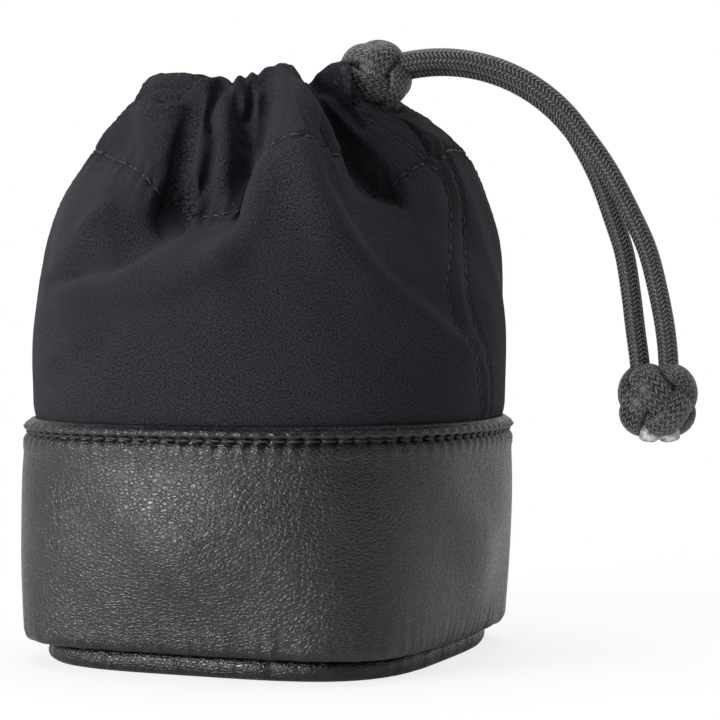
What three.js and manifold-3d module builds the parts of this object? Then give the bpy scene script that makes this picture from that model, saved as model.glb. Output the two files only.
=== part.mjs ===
// A drawstring lens pouch: a leather lower part on a square foot, a cloth upper part gathered at its
// mouth by a braided cord, a knot that slides on the cord's two strands and a knot at their end.
// Millimetres, Z up, origin on the ground under the middle of the foot. X points to the side with
// the cord and -Y to the front.
import * as THREE from 'three';
import { mergeVertices } from 'three/addons/utils/BufferGeometryUtils.js';
import Module from 'manifold-3d';

const wasm = await Module();
wasm.setup();

// Thicknesses, and the gap between two layers that lie on each other.
const clearance = 0.3;
const leatherThickness = 1.4;
const clothThickness = 0.8;
const liningThickness = 0.7;
const paddingThickness = 3;
const boardThickness = 1.5;
const threadThickness = 0.6;
const cordDiameter = 4;

// Leather: a panel under the foot, with a lip, and a wall with a turned hem at its rim.
const floorHalfWidth = 38;
const baseHalfWidth = 39.8;
const baseHeight = 4.2;
const lipWidth = 2.1;
const wallFootHalfWidth = 42.6;
const footRoll = 2.7;
const rimHalfWidth = 47.8;
const rimHeight = 48.5;
const hemDepth = 6;
const hemStitchDrop = 2.8;
const basePower = 3.7;
const footPower = 4.6;
const rimPower = 2.3;

// Cloth: its end is tucked behind the leather's hem, its body bulges, and its shoulder closes to a
// long mouth that stands a little turned and off the middle.
const tuckDepth = 7;
const clothSetback = 0.9;
const clothBulge = 1.75;
const shoulderHalfWidth = 44.2;
const shoulderHeight = 88;
const shoulderPower = 2.05;
const mouthHeight = 114.3;
const mouthHalfLength = 22;
const mouthHalfDepth = 13;
const mouthTurn = THREE.MathUtils.degToRad(22.2);
const mouthAcross = -11;
const mouthAway = -3;

// Channel: the cloth's edge is turned in and sewn down, and the cord runs in the fold.
const lipDepth = 4.4;
const channelRoof = 1.2;
const cordDrop = 5;
const cordPlay = 0.45;
const cordDepth = clothThickness + cordPlay + cordDiameter / 2;
const channelDepth = clothThickness + 2 * cordPlay + cordDiameter;

// Side seam: one angle around the pouch, with a row of stitches on each side.
const seamAngle = THREE.MathUtils.degToRad(-5);
const seamRowSpacing = 2.9;

// The shoulder's profile: how far it has closed and how far it has risen, each from 0 at the
// shoulder to 1 at the mouth's edge.
const closeShares = [0, 0.03, 0.09, 0.16, 0.26, 0.42, 0.74, 1];
const riseShares = [0, 0.24, 0.45, 0.6, 0.73, 0.84, 0.95, 1];

// Levels between the wall's foot and its rim.
const wallRowShares = [0.25, 0.5, 0.75];

// Places up the cloth: 0 at the leather's rim, 1 at the shoulder and 2 at the mouth's edge.
const bodyPlaceShares = [0.06, 0.19, 0.38, 0.62, 0.84];
const foldStartShares = [0.3, 1.3];
const foldFadeShares = [1.4, 2];
const foldLossShare = 0.85;
const seamPlaceShares = [0.02, 0.2, 0.4, 0.6, 0.8, 1, 1.14, 1.28, 1.4];
const liningPlaceShares = [0.1, 0.38, 0.7, 1, 1.2, 1.34];
const facingPlaceShare = 1.62;
const stitchPlaceShare = 1.43;

// Profiles of the leather's lip and of the wall's foot: height, then how far in.
const lipShares = [[0, 1], [0.2, 0.3], [0.5, 0], [0.85, 0.15], [1, 0.6]];
const footShares = [[0, 1], [0.35, 0.25], [1, 0]];

// Main folds: their directions around the pouch, how far they stand out, and their widths.
const folds = [
  { at: -58, height: 6.5, width: 15 },
  { at: -98, height: 3.2, width: 9 },
  { at: -132, height: 1.6, width: 16 },
  { at: 172, height: 1.5, width: 13 },
  { at: 132, height: 5, width: 14 },
  { at: 98, height: 3.4, width: 12 },
  { at: 62, height: 4.5, width: 13 },
];
// Where the mouth's edge stands higher or lower than mouthHeight.
const edgeLifts = [
  { at: -52, height: 5, width: 13 },
  { at: 128, height: 4, width: 45 },
  { at: -150, height: -13, width: 25 },
  { at: 0, height: -3.6, width: 22 },
];

// Cord: two strands side by side leave the mouth along an arc, on which the sliding knot travels.
// Then they part and hang to the end knot. cordHeading turns the plane that they lie in.
const cordHeading = THREE.MathUtils.degToRad(15);
const arcCentre = new THREE.Vector3(35.6, 3.2, 85.9);
const arcRadius = 34;
const arcStart = THREE.MathUtils.degToRad(126);
const arcEnd = THREE.MathUtils.degToRad(35);
const sliderAngle = THREE.MathUtils.degToRad(112);
const strandRise = 0.6;
const strandSide = 2.07;
const cordStep = 4.6;
const arcSteps = 16;
// Where the loop inside the channel ends, towards the front and towards the back.
const loopFrontEnd = THREE.MathUtils.degToRad(-37);
const loopBackEnd = THREE.MathUtils.degToRad(52);
const loopGap = THREE.MathUtils.degToRad(3);
// Each strand: its way out of the channel, its offsets on the arc, and how it hangs: its reach
// from the arc's centre, its distance across the plane and its height.
const strands = [
  {
    name: 'cord_strand_front',
    start: loopFrontEnd + loopGap,
    lead: loopFrontEnd + 3 * loopGap,
    exit: [new THREE.Vector3(13, -10.6, 110.3), new THREE.Vector3(14.9, -7.3, 111.8)],
    rise: strandRise,
    side: -strandSide,
    hang: [
      new THREE.Vector3(33.4, -2.07, 98.6),
      new THREE.Vector3(38.2, -2, 89.6),
      new THREE.Vector3(41.6, -1.8, 82),
      new THREE.Vector3(43.7, -1.4, 74),
      new THREE.Vector3(45.2, -0.9, 66.1),
      new THREE.Vector3(45.8, -0.4, 60),
      new THREE.Vector3(45.9, -0.2, 55.4),
    ],
  },
  {
    name: 'cord_strand_back',
    start: loopBackEnd - loopGap,
    lead: loopBackEnd - 3 * loopGap,
    exit: [new THREE.Vector3(13, 5.7, 110.9), new THREE.Vector3(14.3, 2.7, 111.5)],
    rise: -strandRise,
    side: strandSide,
    hang: [
      new THREE.Vector3(31.6, 2.07, 97.2),
      new THREE.Vector3(34.9, 2, 88.2),
      new THREE.Vector3(37, 1.8, 81.6),
      new THREE.Vector3(38.3, 1.4, 74),
      new THREE.Vector3(39.3, 0.9, 66),
      new THREE.Vector3(40.1, 0.4, 60),
      new THREE.Vector3(40.5, 0.2, 55.4),
    ],
  },
];

// Knots.
const knotRadius = 7.9;
const knotHalfLength = 7.6;
const knotStrandRadius = 2.3;
const knotBite = 1.1;
const knotLeads = 3;
const knotBights = 4;
const knotReach = THREE.MathUtils.degToRad(58);
const knotCoreShare = 0.74;
const boreRadius = 2.7;
const endKnotPlace = new THREE.Vector3(43.7, 0, 52.2);
const tipLength = 3.4;
const tipRadius = 1.9;

// Facets, and a small step for reading slopes.
const tick = 0.01;
const around = 48;
const cordSides = 8;
const threadSides = 4;
const threadStep = 6;
const knotAround = 28;
const knotUp = 14;
const knotSamples = 96;

function material(color, roughness) {
  return new THREE.MeshStandardMaterial({ color, roughness, metalness: 0 });
}
const leather = material(0x26262a, 0.5);
const cloth = material(0x1c1c26, 0.95);
const liningCloth = material(0x3a3a40, 1);
const foam = material(0x8c8c88, 1);
const board = material(0x8a7a60, 0.9);
const braid = material(0x2c2c30, 0.85);
const thread = material(0x18181b, 0.7);
const meltedBraid = material(0x8f8c8c, 0.6);

const pouch = new THREE.Group();

function addPart(name, geometry, partMaterial) {
  const mesh = new THREE.Mesh(geometry, partMaterial);
  mesh.name = name;
  pouch.add(mesh);
}

// Six times the volume inside the faces, positive when they point out.
function signedVolume(points, index) {
  let sum = 0;
  for (let i = 0; i < index.length; i += 3) {
    sum += points[index[i]].dot(points[index[i + 1]].clone().cross(points[index[i + 2]]));
  }
  return sum;
}

function closedGeometry(points, index) {
  if (signedVolume(points, index) < 0) {
    index.reverse();
  }
  const geometry = new THREE.BufferGeometry();
  geometry.setFromPoints(points);
  geometry.setIndex(index);
  geometry.computeVertexNormals();
  return geometry;
}

// Joins rings of points into a skin. Its rows end in a flat cap at each end, or close on
// themselves, as the inside and the outside of a sleeve do.
function loft(rows, capped) {
  const count = rows[0].length;
  const points = rows.flat();
  const index = [];
  const joins = capped ? rows.length - 1 : rows.length;
  for (let row = 0; row < joins; row += 1) {
    const above = (row + 1) % rows.length;
    for (let i = 0; i < count; i += 1) {
      const next = (i + 1) % count;
      const low = [row * count + i, row * count + next];
      const high = [above * count + i, above * count + next];
      index.push(low[0], low[1], high[1], low[0], high[1], high[0]);
    }
  }
  if (capped) {
    [0, rows.length - 1].forEach((row) => {
      const middle = new THREE.Vector3();
      rows[row].forEach((point) => middle.addScaledVector(point, 1 / count));
      const hub = points.push(middle) - 1;
      for (let i = 0; i < count; i += 1) {
        const pair = [row * count + i, row * count + ((i + 1) % count)];
        index.push(hub, ...(row === 0 ? pair.reverse() : pair));
      }
    });
  }
  return closedGeometry(points, index);
}

// A ring of points, one for each direction around the pouch.
function ringOf(pointAt) {
  return Array.from({ length: around }, (_, i) => pointAt((2 * Math.PI * i) / around));
}

function merged(geometry) {
  geometry.deleteAttribute('normal');
  geometry.deleteAttribute('uv');
  const shared = mergeVertices(geometry);
  shared.computeVertexNormals();
  return shared;
}

// A bar with a round section along a curve, with flat ends.
function barAlong(curve, radius, sides, step) {
  const corners = Array.from({ length: sides }, (_, i) => {
    const turn = (2 * Math.PI * i) / sides;
    return new THREE.Vector2(radius * Math.cos(turn), radius * Math.sin(turn));
  });
  const steps = Math.ceil(curve.getLength() / step);
  const section = new THREE.Shape(corners);
  return merged(new THREE.ExtrudeGeometry(section, { steps, extrudePath: curve, bevelEnabled: false }));
}

function toSolid(geometry) {
  const vertProperties = new Float32Array(geometry.attributes.position.array);
  const triVerts = new Uint32Array(geometry.index.array);
  return new wasm.Manifold(new wasm.Mesh({ numProp: 3, vertProperties, triVerts }));
}

function fromSolid(solid) {
  const mesh = solid.getMesh();
  const geometry = new THREE.BufferGeometry();
  geometry.setAttribute('position', new THREE.BufferAttribute(mesh.vertProperties, 3));
  geometry.setIndex(new THREE.BufferAttribute(mesh.triVerts, 1));
  geometry.computeVertexNormals();
  return geometry;
}

function cutFrom(geometry, cutters) {
  return fromSolid(cutters.reduce((solid, cutter) => solid.subtract(toSolid(cutter)), toSolid(geometry)));
}

function between(low, high, share) {
  return low + (high - low) * share;
}

// A value read from a list of shares, at a place from 0 to 1 along it.
function readShares(shares, place) {
  const spot = THREE.MathUtils.clamp(place, 0, 1) * (shares.length - 1);
  const low = Math.min(Math.floor(spot), shares.length - 2);
  return between(shares[low], shares[low + 1], spot - low);
}

// A rounded square seen from above, the more square the higher its power.
function squarePoint(halfWidth, power, angle, z) {
  const x = Math.cos(angle);
  const y = Math.sin(angle);
  const reach = halfWidth / (Math.abs(x) ** power + Math.abs(y) ** power) ** (1 / power);
  return new THREE.Vector3(reach * x, reach * y, z);
}

// A smooth hump around the pouch, 1 at its middle.
function hump(angle, item) {
  const width = THREE.MathUtils.degToRad(item.width);
  return Math.exp((Math.cos(angle - THREE.MathUtils.degToRad(item.at)) - 1) / width ** 2);
}

// The leather wall's outer face, moved in by an inset.
function wallPoint(z, inset, angle) {
  const share = THREE.MathUtils.clamp((z - baseHeight) / (rimHeight - baseHeight), 0, 1);
  const halfWidth = between(wallFootHalfWidth, rimHalfWidth, share);
  return squarePoint(halfWidth - inset, between(footPower, rimPower, share), angle, z);
}

function wallRing(z, inset) {
  return ringOf((angle) => wallPoint(z, inset, angle));
}

function baseRing(z, inset) {
  return ringOf((angle) => squarePoint(baseHalfWidth - inset, basePower, angle, z));
}

// The cloth's outer face without its folds, at a place from 0 at the rim to 2 at the edge.
function smoothCloth(place, angle) {
  const share = Math.min(place, 1);
  const halfWidth = between(rimHalfWidth - clothSetback, shoulderHalfWidth, share)
    + clothBulge * Math.sin(Math.PI * share);
  const power = between(rimPower, shoulderPower, share);
  const point = squarePoint(halfWidth, power, angle, between(rimHeight, shoulderHeight, share));
  if (place <= 1) {
    return point;
  }
  const lift = edgeLifts.reduce((sum, item) => sum + item.height * hump(angle, item), 0);
  const turned = angle - mouthTurn;
  const edge = new THREE.Vector3(
    mouthAcross + mouthHalfLength * Math.cos(turned),
    mouthAway + mouthHalfDepth * Math.sin(turned),
    mouthHeight + lift,
  ).applyAxisAngle(new THREE.Vector3(0, 0, 1), mouthTurn);
  const closed = readShares(closeShares, place - 1);
  const risen = readShares(riseShares, place - 1);
  return new THREE.Vector3(
    between(point.x, edge.x, closed),
    between(point.y, edge.y, closed),
    between(point.z, edge.z, risen),
  );
}

// The place on the cloth that lies a distance below the mouth's edge.
function placeBelowEdge(angle, distance) {
  const rows = closeShares.length - 1;
  let left = distance;
  for (let row = rows; row > 0; row -= 1) {
    const high = smoothCloth(1 + row / rows, angle);
    const step = high.distanceTo(smoothCloth(1 + (row - 1) / rows, angle));
    if (step >= left) {
      return 1 + (row - left / step) / rows;
    }
    left -= step;
  }
  return 1;
}

// How far the folds stand out. They begin low on the body and fade towards the mouth's edge.
function foldHeight(place, angle) {
  const begun = THREE.MathUtils.smoothstep(place, ...foldStartShares);
  const kept = 1 - foldLossShare * THREE.MathUtils.smoothstep(place, ...foldFadeShares);
  return begun * kept * folds.reduce((sum, item) => sum + item.height * hump(angle, item), 0);
}

// A point a given depth under the cloth's outer face, with its folds or without.
function clothPoint(place, angle, depth, foldShare = 1) {
  const point = smoothCloth(place, angle);
  const along = smoothCloth(place, angle + tick).sub(smoothCloth(place, angle - tick));
  const rising = smoothCloth(Math.min(place + tick, 2), angle).sub(smoothCloth(place - tick, angle));
  const outward = along.cross(rising).normalize();
  return point.addScaledVector(outward, foldShare * foldHeight(place, angle) - depth);
}

function clothRing(place, depth, foldShare = 1) {
  return ringOf((angle) => clothPoint(place, angle, depth, foldShare));
}

// A ring on the unfolded cloth, a distance below the mouth's edge.
function edgeRing(distance, depth, foldShare) {
  return ringOf((angle) => clothPoint(placeBelowEdge(angle, distance), angle, depth, foldShare));
}

// Heights from low to high at which the layers beside the wall have a ring, the same for all.
function wallHeights(low, high) {
  const levels = wallRowShares.map((share) => between(baseHeight, rimHeight, share));
  return [low, ...levels.filter((z) => z > low && z < high), high];
}

// Leather wall: up its outer face, over the rim, down the turned hem and its inner face.
function leatherWall() {
  const foot = baseHeight + clearance;
  const roll = leatherThickness / 2;
  const bulge = footShares.map(([rise, inset]) => wallRing(foot + footRoll * rise, leatherThickness * inset));
  const inner = wallHeights(foot + footRoll, rimHeight - hemDepth).map((z) => wallRing(z, leatherThickness));
  return loft([
    ...bulge,
    ...wallHeights(foot + footRoll, rimHeight - roll).slice(1).map((z) => wallRing(z, 0)),
    wallRing(rimHeight, roll),
    wallRing(rimHeight, leatherThickness + roll),
    wallRing(rimHeight - roll, 2 * leatherThickness),
    wallRing(rimHeight - hemDepth, 2 * leatherThickness),
    ...inner.reverse(),
    wallRing(foot, 2 * leatherThickness),
  ], false);
}

// Leather panel under the foot: flat outside, with a rounded lip that stands up to the wall.
function leatherBase() {
  const spread = baseHalfWidth - floorHalfWidth;
  return loft([
    ...lipShares.map(([rise, inset]) => baseRing(baseHeight * rise, spread * inset)),
    baseRing(baseHeight - leatherThickness / 2, lipWidth),
    baseRing(leatherThickness, lipWidth + clearance),
  ], true);
}

// A flat layer inside the foot.
function flatLayer(halfWidth, power, low, thickness) {
  const rows = [low, low + thickness];
  return loft(rows.map((z) => ringOf((angle) => squarePoint(halfWidth, power, angle, z))), true);
}

// Layers inside the foot, each resting on the one below.
const boardLow = leatherThickness + clearance;
const padLow = boardLow + boardThickness + clearance;
const liningLow = padLow + paddingThickness + clearance;
const sleeveLow = liningLow + liningThickness + clearance;
const boardHalfWidth = baseHalfWidth - lipWidth - 2 * clearance;
const paddingInset = leatherThickness + clearance;
const liningInset = paddingInset + paddingThickness + clearance;
const liningHalfWidth = wallFootHalfWidth - liningInset + clearance;
const tuckInset = 2 * leatherThickness + clearance;

// Foam sleeve between the leather wall and the lining, up to the turned hem.
function wallPadding() {
  const rows = wallHeights(liningLow + clearance, rimHeight - tuckDepth - 2 * clearance);
  return loft([
    ...rows.map((z) => wallRing(z, paddingInset)),
    ...rows.reverse().map((z) => wallRing(z, paddingInset + paddingThickness)),
  ], false);
}

// Lining sleeve: inside the padding, then inside the cloth up to the channel.
function liningSleeve() {
  const heights = wallHeights(sleeveLow, rimHeight - clearance);
  const face = (extra) => [
    ...heights.map((z) => wallRing(z, liningInset + extra)),
    ...liningPlaceShares.map((place) => clothRing(place, clothThickness + clearance + extra)),
  ];
  return loft([...face(0), ...face(liningThickness).reverse()], false);
}

// Cloth body: up its outer face, over the rolled edge, down the turned-in channel hem and back up
// inside the channel, then down its inner face.
function clothBody(exits) {
  const rows = closeShares.length - 1;
  const shoulderPlaces = closeShares.map((_, i) => 1 + i / rows);
  const wallFace = (depth) => [
    wallRing(rimHeight - tuckDepth, tuckInset + depth),
    wallRing(rimHeight + clearance, tuckInset + depth),
    ...bodyPlaceShares.map((place) => clothRing(place, depth)),
    ...shoulderPlaces.slice(0, -1).map((place) => clothRing(place, depth)),
  ];
  const hemDepthAt = (extra) => [
    clothRing(stitchPlaceShare, clothThickness + clearance + extra, 0),
    clothRing(facingPlaceShare, channelDepth - clothThickness + extra, 0),
    edgeRing(cordDrop, channelDepth + extra, 0),
    edgeRing(channelRoof, lipDepth + extra, 0),
  ];
  const body = loft([
    ...wallFace(0),
    clothRing(2, 0),
    clothRing(2, lipDepth, 0),
    ...hemDepthAt(clothThickness).reverse(),
    ...hemDepthAt(0),
    edgeRing(channelRoof, clothThickness, 1),
    ...wallFace(clothThickness).slice(0, -1).reverse(),
  ], false);
  return cutFrom(body, exits);
}

// The cord's loop inside the channel, around the mouth.
function loopPoint(angle) {
  return clothPoint(placeBelowEdge(angle, cordDrop), angle, cordDepth, 0);
}

function channelCord() {
  const span = loopFrontEnd + 2 * Math.PI - loopBackEnd;
  const points = Array.from({ length: around + 1 }, (_, i) => loopPoint(loopBackEnd + (span * i) / around));
  return barAlong(new THREE.CatmullRomCurve3(points), cordDiameter / 2, cordSides, cordStep);
}

// Directions of the plane that the strands lie in, along it and across it.
const up = new THREE.Vector3(0, 0, 1);
const ahead = new THREE.Vector3(1, 0, 0).applyAxisAngle(up, cordHeading);
const aside = new THREE.Vector3(0, 1, 0).applyAxisAngle(up, cordHeading);

function arcPoint(angle, rise, side) {
  const reach = arcRadius + rise;
  return arcCentre.clone()
    .addScaledVector(ahead, reach * Math.cos(angle))
    .addScaledVector(up, reach * Math.sin(angle))
    .addScaledVector(aside, side);
}

// A point of the hanging part of the cord, given as its reach from the arc's centre, its distance
// across the plane and its height.
function hangPoint({ x, y, z }) {
  return new THREE.Vector3(arcCentre.x, arcCentre.y, z).addScaledVector(ahead, x).addScaledVector(aside, y);
}

function strandPoints(strand) {
  const turns = Array.from({ length: arcSteps + 1 }, (_, i) => between(arcStart, arcEnd, i / arcSteps));
  return {
    rising: [loopPoint(strand.start), loopPoint(strand.lead), ...strand.exit],
    arc: turns.map((angle) => arcPoint(angle, strand.rise, strand.side)),
    hanging: strand.hang.map(hangPoint),
  };
}

function strandCurve(strand) {
  const { rising, arc, hanging } = strandPoints(strand);
  return new THREE.CatmullRomCurve3([...rising, ...arc, ...hanging]);
}

function strandBar(strand) {
  return barAlong(strandCurve(strand), cordDiameter / 2, cordSides, cordStep);
}

// The way out of the channel that a strand takes.
function strandExit(strand) {
  const { rising, arc } = strandPoints(strand);
  return barAlong(new THREE.CatmullRomCurve3([...rising, ...arc.slice(0, 2)]), boreRadius, cordSides, cordStep);
}

// The hole that a knot keeps for a strand on the arc.
function strandBore(strand) {
  const half = (2 * knotHalfLength) / arcRadius;
  const turns = Array.from({ length: arcSteps + 1 }, (_, i) => sliderAngle + half * (1 - (2 * i) / arcSteps));
  const curve = new THREE.CatmullRomCurve3(turns.map((angle) => arcPoint(angle, strand.rise, strand.side)));
  return barAlong(curve, boreRadius, cordSides, cordStep);
}

// The hole in the end knot that a strand goes into.
function strandSocket(strand) {
  const [above, last] = strand.hang.slice(-2).map(hangPoint);
  const past = last.clone().add(last.clone().sub(above).setLength(2 * clearance));
  return barAlong(new THREE.CatmullRomCurve3([above, last, past]), boreRadius, cordSides, cordStep);
}

// A braided knot's outer face. One cord goes round the knot's axis as a plait of leads and bights,
// each crossing over and under in turn, and the face is as far out as the cord reaches.
function knotGeometry(centre, axis, sideways) {
  const third = axis.clone().cross(sideways).normalize();
  const middle = knotRadius - knotStrandRadius - knotBite / 2;
  const strand = Array.from({ length: knotSamples }, (_, i) => {
    const turn = (2 * Math.PI * i) / knotSamples;
    const tilt = knotReach * Math.cos(knotBights * turn);
    const reach = middle + (knotBite / 2) * Math.sin(2 * knotBights * turn);
    return new THREE.Vector3().setFromSphericalCoords(reach, Math.PI / 2 - tilt, knotLeads * turn);
  });
  const faceReach = (way) => strand.reduce((best, point) => {
    const near = point.dot(way);
    const inside = knotStrandRadius ** 2 - point.lengthSq() + near ** 2;
    return near > 0 && inside > 0 ? Math.max(best, near + Math.sqrt(inside)) : best;
  }, knotCoreShare * knotRadius);
  const rows = Array.from({ length: knotUp }, (_, row) => Array.from({ length: knotAround }, (_, i) => {
    const polar = Math.PI * (1 - (row + 0.5) / knotUp);
    const way = new THREE.Vector3().setFromSphericalCoords(1, polar, (2 * Math.PI * i) / knotAround);
    const reach = faceReach(way);
    return centre.clone()
      .addScaledVector(sideways, reach * way.z)
      .addScaledVector(third, reach * way.x)
      .addScaledVector(axis, reach * way.y * (knotHalfLength / knotRadius));
  }));
  return loft(rows, true);
}

function sliderKnot() {
  const centre = arcPoint(sliderAngle, 0, 0);
  const axis = ahead.clone().multiplyScalar(Math.sin(sliderAngle)).addScaledVector(up, -Math.cos(sliderAngle));
  return cutFrom(knotGeometry(centre, axis, aside), strands.map(strandBore));
}

// The two melted cord tips lie side by side in the end knot's underside.
function tipBar(side, radius, low) {
  const foot = hangPoint(endKnotPlace).addScaledVector(ahead, side * (tipRadius + clearance));
  foot.z = low;
  const head = foot.clone().addScaledVector(up, tipLength);
  return barAlong(new THREE.LineCurve3(foot, head), radius, cordSides, cordStep);
}

const tipLow = endKnotPlace.z - knotHalfLength;

function endKnot() {
  const tipHoles = [-1, 1].map((side) => tipBar(side, tipRadius + clearance, tipLow + clearance));
  return cutFrom(knotGeometry(hangPoint(endKnotPlace), up, aside), [...strands.map(strandSocket), ...tipHoles]);
}

// A thread around the pouch, resting on the face that ringAt follows.
function threadRing(ringAt) {
  const half = threadThickness / 2;
  return loft([
    ringAt(0, clearance),
    ringAt(half, clearance + half),
    ringAt(0, clearance + threadThickness),
    ringAt(-half, clearance + half),
  ], false);
}

function hemThread() {
  return threadRing((rise, out) => wallRing(rimHeight - hemStitchDrop + rise, -out));
}

function channelThread() {
  return threadRing((rise, out) => ringOf((angle) => (
    clothPoint(stitchPlaceShare, angle, -out).addScaledVector(up, rise)
  )));
}

// A row of stitches beside the side seam, from the leather's rim to the channel.
function seamThread(side) {
  const angle = seamAngle + (side * seamRowSpacing) / 2 / shoulderHalfWidth;
  const out = clearance + threadThickness / 2;
  const points = seamPlaceShares.map((place) => clothPoint(place, angle, -out));
  return barAlong(new THREE.CatmullRomCurve3(points), threadThickness / 2, threadSides, threadStep);
}

addPart('leather_wall', leatherWall(), leather);
addPart('leather_base', leatherBase(), leather);
addPart('base_board', flatLayer(boardHalfWidth, basePower, boardLow, boardThickness), board);
addPart('base_padding', flatLayer(boardHalfWidth, basePower, padLow, paddingThickness), foam);
addPart('wall_padding', wallPadding(), foam);
addPart('lining_floor', flatLayer(liningHalfWidth, footPower, liningLow, liningThickness), liningCloth);
addPart('lining_sleeve', liningSleeve(), liningCloth);
addPart('cloth_body', clothBody(strands.map(strandExit)), cloth);
addPart('channel_cord', channelCord(), braid);
strands.forEach((strand) => addPart(strand.name, strandBar(strand), braid));
addPart('sliding_knot', sliderKnot(), braid);
addPart('end_knot', endKnot(), braid);
addPart('cord_tip_inner', tipBar(-1, tipRadius, tipLow), meltedBraid);
addPart('cord_tip_outer', tipBar(1, tipRadius, tipLow), meltedBraid);
addPart('hem_thread', hemThread(), thread);
addPart('channel_thread', channelThread(), thread);
addPart('seam_thread_front', seamThread(-1), thread);
addPart('seam_thread_back', seamThread(1), thread);

export default pouch;
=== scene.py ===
# A drawstring lens pouch: a padded leather lower part on a square foot, a gathered cloth upper
# part, and a braided cord with a knot that slides on its two strands and a knot at their end.
import math
import bpy
import numpy as np
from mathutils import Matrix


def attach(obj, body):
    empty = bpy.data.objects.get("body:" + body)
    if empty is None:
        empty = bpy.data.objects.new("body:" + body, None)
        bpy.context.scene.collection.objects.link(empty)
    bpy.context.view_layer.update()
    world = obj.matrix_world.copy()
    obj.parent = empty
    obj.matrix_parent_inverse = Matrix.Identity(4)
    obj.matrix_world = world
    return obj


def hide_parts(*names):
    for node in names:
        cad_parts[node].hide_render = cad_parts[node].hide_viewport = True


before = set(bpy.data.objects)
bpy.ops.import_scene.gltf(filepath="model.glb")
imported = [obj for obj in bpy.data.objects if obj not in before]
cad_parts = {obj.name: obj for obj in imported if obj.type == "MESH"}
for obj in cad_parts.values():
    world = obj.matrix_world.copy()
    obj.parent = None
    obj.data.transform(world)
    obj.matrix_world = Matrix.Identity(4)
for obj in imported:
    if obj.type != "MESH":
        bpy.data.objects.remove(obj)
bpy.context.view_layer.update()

# The room: white paper under and behind the pouch, a soft box in front on the left, a fainter one on
# the right, a wide one overhead, and a camera a little above the pouch's middle. A gloss mirrors the
# white backdrop behind the pouch and the dim room in front of it.


def linear(code):
    """Turns an sRGB hex colour such as 8a8a90 into linear red, green, blue and alpha: a dark part over
    12.92, and a lighter one shifted by 0.055 and raised to the power 2.4."""
    parts = np.array([int(code[i:i + 2], 16) for i in (0, 2, 4)]) / 255
    low = parts / 12.92
    high = ((parts + 0.055) / 1.055) ** 2.4
    return tuple(np.where(parts <= 0.04045, low, high)) + (1.0,)


def add_node(tree, kind, inputs=None, **settings):
    """Adds a node of this kind to the tree, with its settings, and fills its inputs: a node or a
    socket is linked, and anything else becomes the socket's own value. A Mix node's two colours are
    its inputs 6 and 7, and its output 2."""
    made = tree.nodes.new("ShaderNode" + kind)
    for name, value in settings.items():
        setattr(made, name, value)
    for name, value in (inputs or {}).items():
        socket = made.inputs[name]
        if isinstance(value, bpy.types.Node):
            tree.links.new(value.outputs[0], socket)
        elif isinstance(value, bpy.types.NodeSocket):
            tree.links.new(value, socket)
        else:
            socket.default_value = value
    return made


def new_material(name):
    """An empty node material, with its tree and the place on the object that its patterns read."""
    made = bpy.data.materials.new(name)
    made.use_nodes = True
    made.node_tree.nodes.clear()
    return made, made.node_tree, add_node(made.node_tree, "TexCoord").outputs["Object"]


def add_object(name, data):
    """An object in the scene with this mesh, lamp or camera."""
    made = bpy.data.objects.new(name, data)
    bpy.context.scene.collection.objects.link(made)
    return made


# The air is white to the camera and even to matt surfaces. To a gloss it is bright only on the
# backdrop's side.
backdrop_way = (-0.378, 0.926, 0.0)
eased = {"interpolation_type": "SMOOTHSTEP"}
world = bpy.data.worlds.new("studio_air")
bpy.context.scene.world = world
world.use_nodes = True
air = world.node_tree
air.nodes.clear()
path = add_node(air, "LightPath")
direction = add_node(air, "TexCoord").outputs["Generated"]
to_backdrop = add_node(air, "VectorMath", {0: direction, 1: backdrop_way}, operation="DOT_PRODUCT")
mirrored = add_node(air, "MapRange", {"Value": to_backdrop.outputs["Value"], "From Min": -0.1,
                                      "From Max": 0.7, "To Min": 0.07}, **eased)
seen = add_node(air, "Math", {0: path.outputs["Is Camera Ray"], 1: path.outputs["Is Transmission Ray"]},
                operation="MAXIMUM")
other = add_node(air, "Mix", {0: path.outputs["Is Glossy Ray"], 2: 0.42, 3: mirrored}, data_type="FLOAT")
level = add_node(air, "Mix", {0: seen, 2: other, 3: 1.0}, data_type="FLOAT")
white_air = add_node(air, "Background", {"Color": linear("ffffff"), "Strength": level})
add_node(air, "OutputWorld", {"Surface": white_air})

# White background paper: matt, and shown white, so that only the pouch's soft shadow darkens it. It
# glows a little less near the pouch, where the shadow is. The sheet is round and reaches 4 m out.
paper_reach = 4
paper, tree, where = new_material("white_background_paper")
matt = add_node(tree, "BsdfDiffuse", {"Color": linear("f4f4f4")})
glow = add_node(tree, "Emission", {"Color": linear("ffffff"), "Strength": 1.0})
far = add_node(tree, "VectorMath", {0: where}, operation="LENGTH")
glow_share = add_node(tree, "MapRange", {"Value": far.outputs["Value"], "From Min": 0.06,
                                         "From Max": 0.3, "To Min": 0.8}, **eased)
path = add_node(tree, "LightPath")
mirrored = add_node(tree, "Math", {0: path.outputs["Is Glossy Ray"], 1: 0.1}, operation="MULTIPLY")
seen = add_node(tree, "Math", {0: path.outputs["Is Camera Ray"], 1: path.outputs["Is Transmission Ray"]},
                operation="MAXIMUM")
seen = add_node(tree, "Math", {0: seen, 1: mirrored}, operation="MAXIMUM")
share = add_node(tree, "Math", {0: seen, 1: glow_share}, operation="MULTIPLY")
surface = add_node(tree, "MixShader", {0: share, 1: matt, 2: glow})
add_node(tree, "OutputMaterial", {"Surface": surface})

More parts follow.
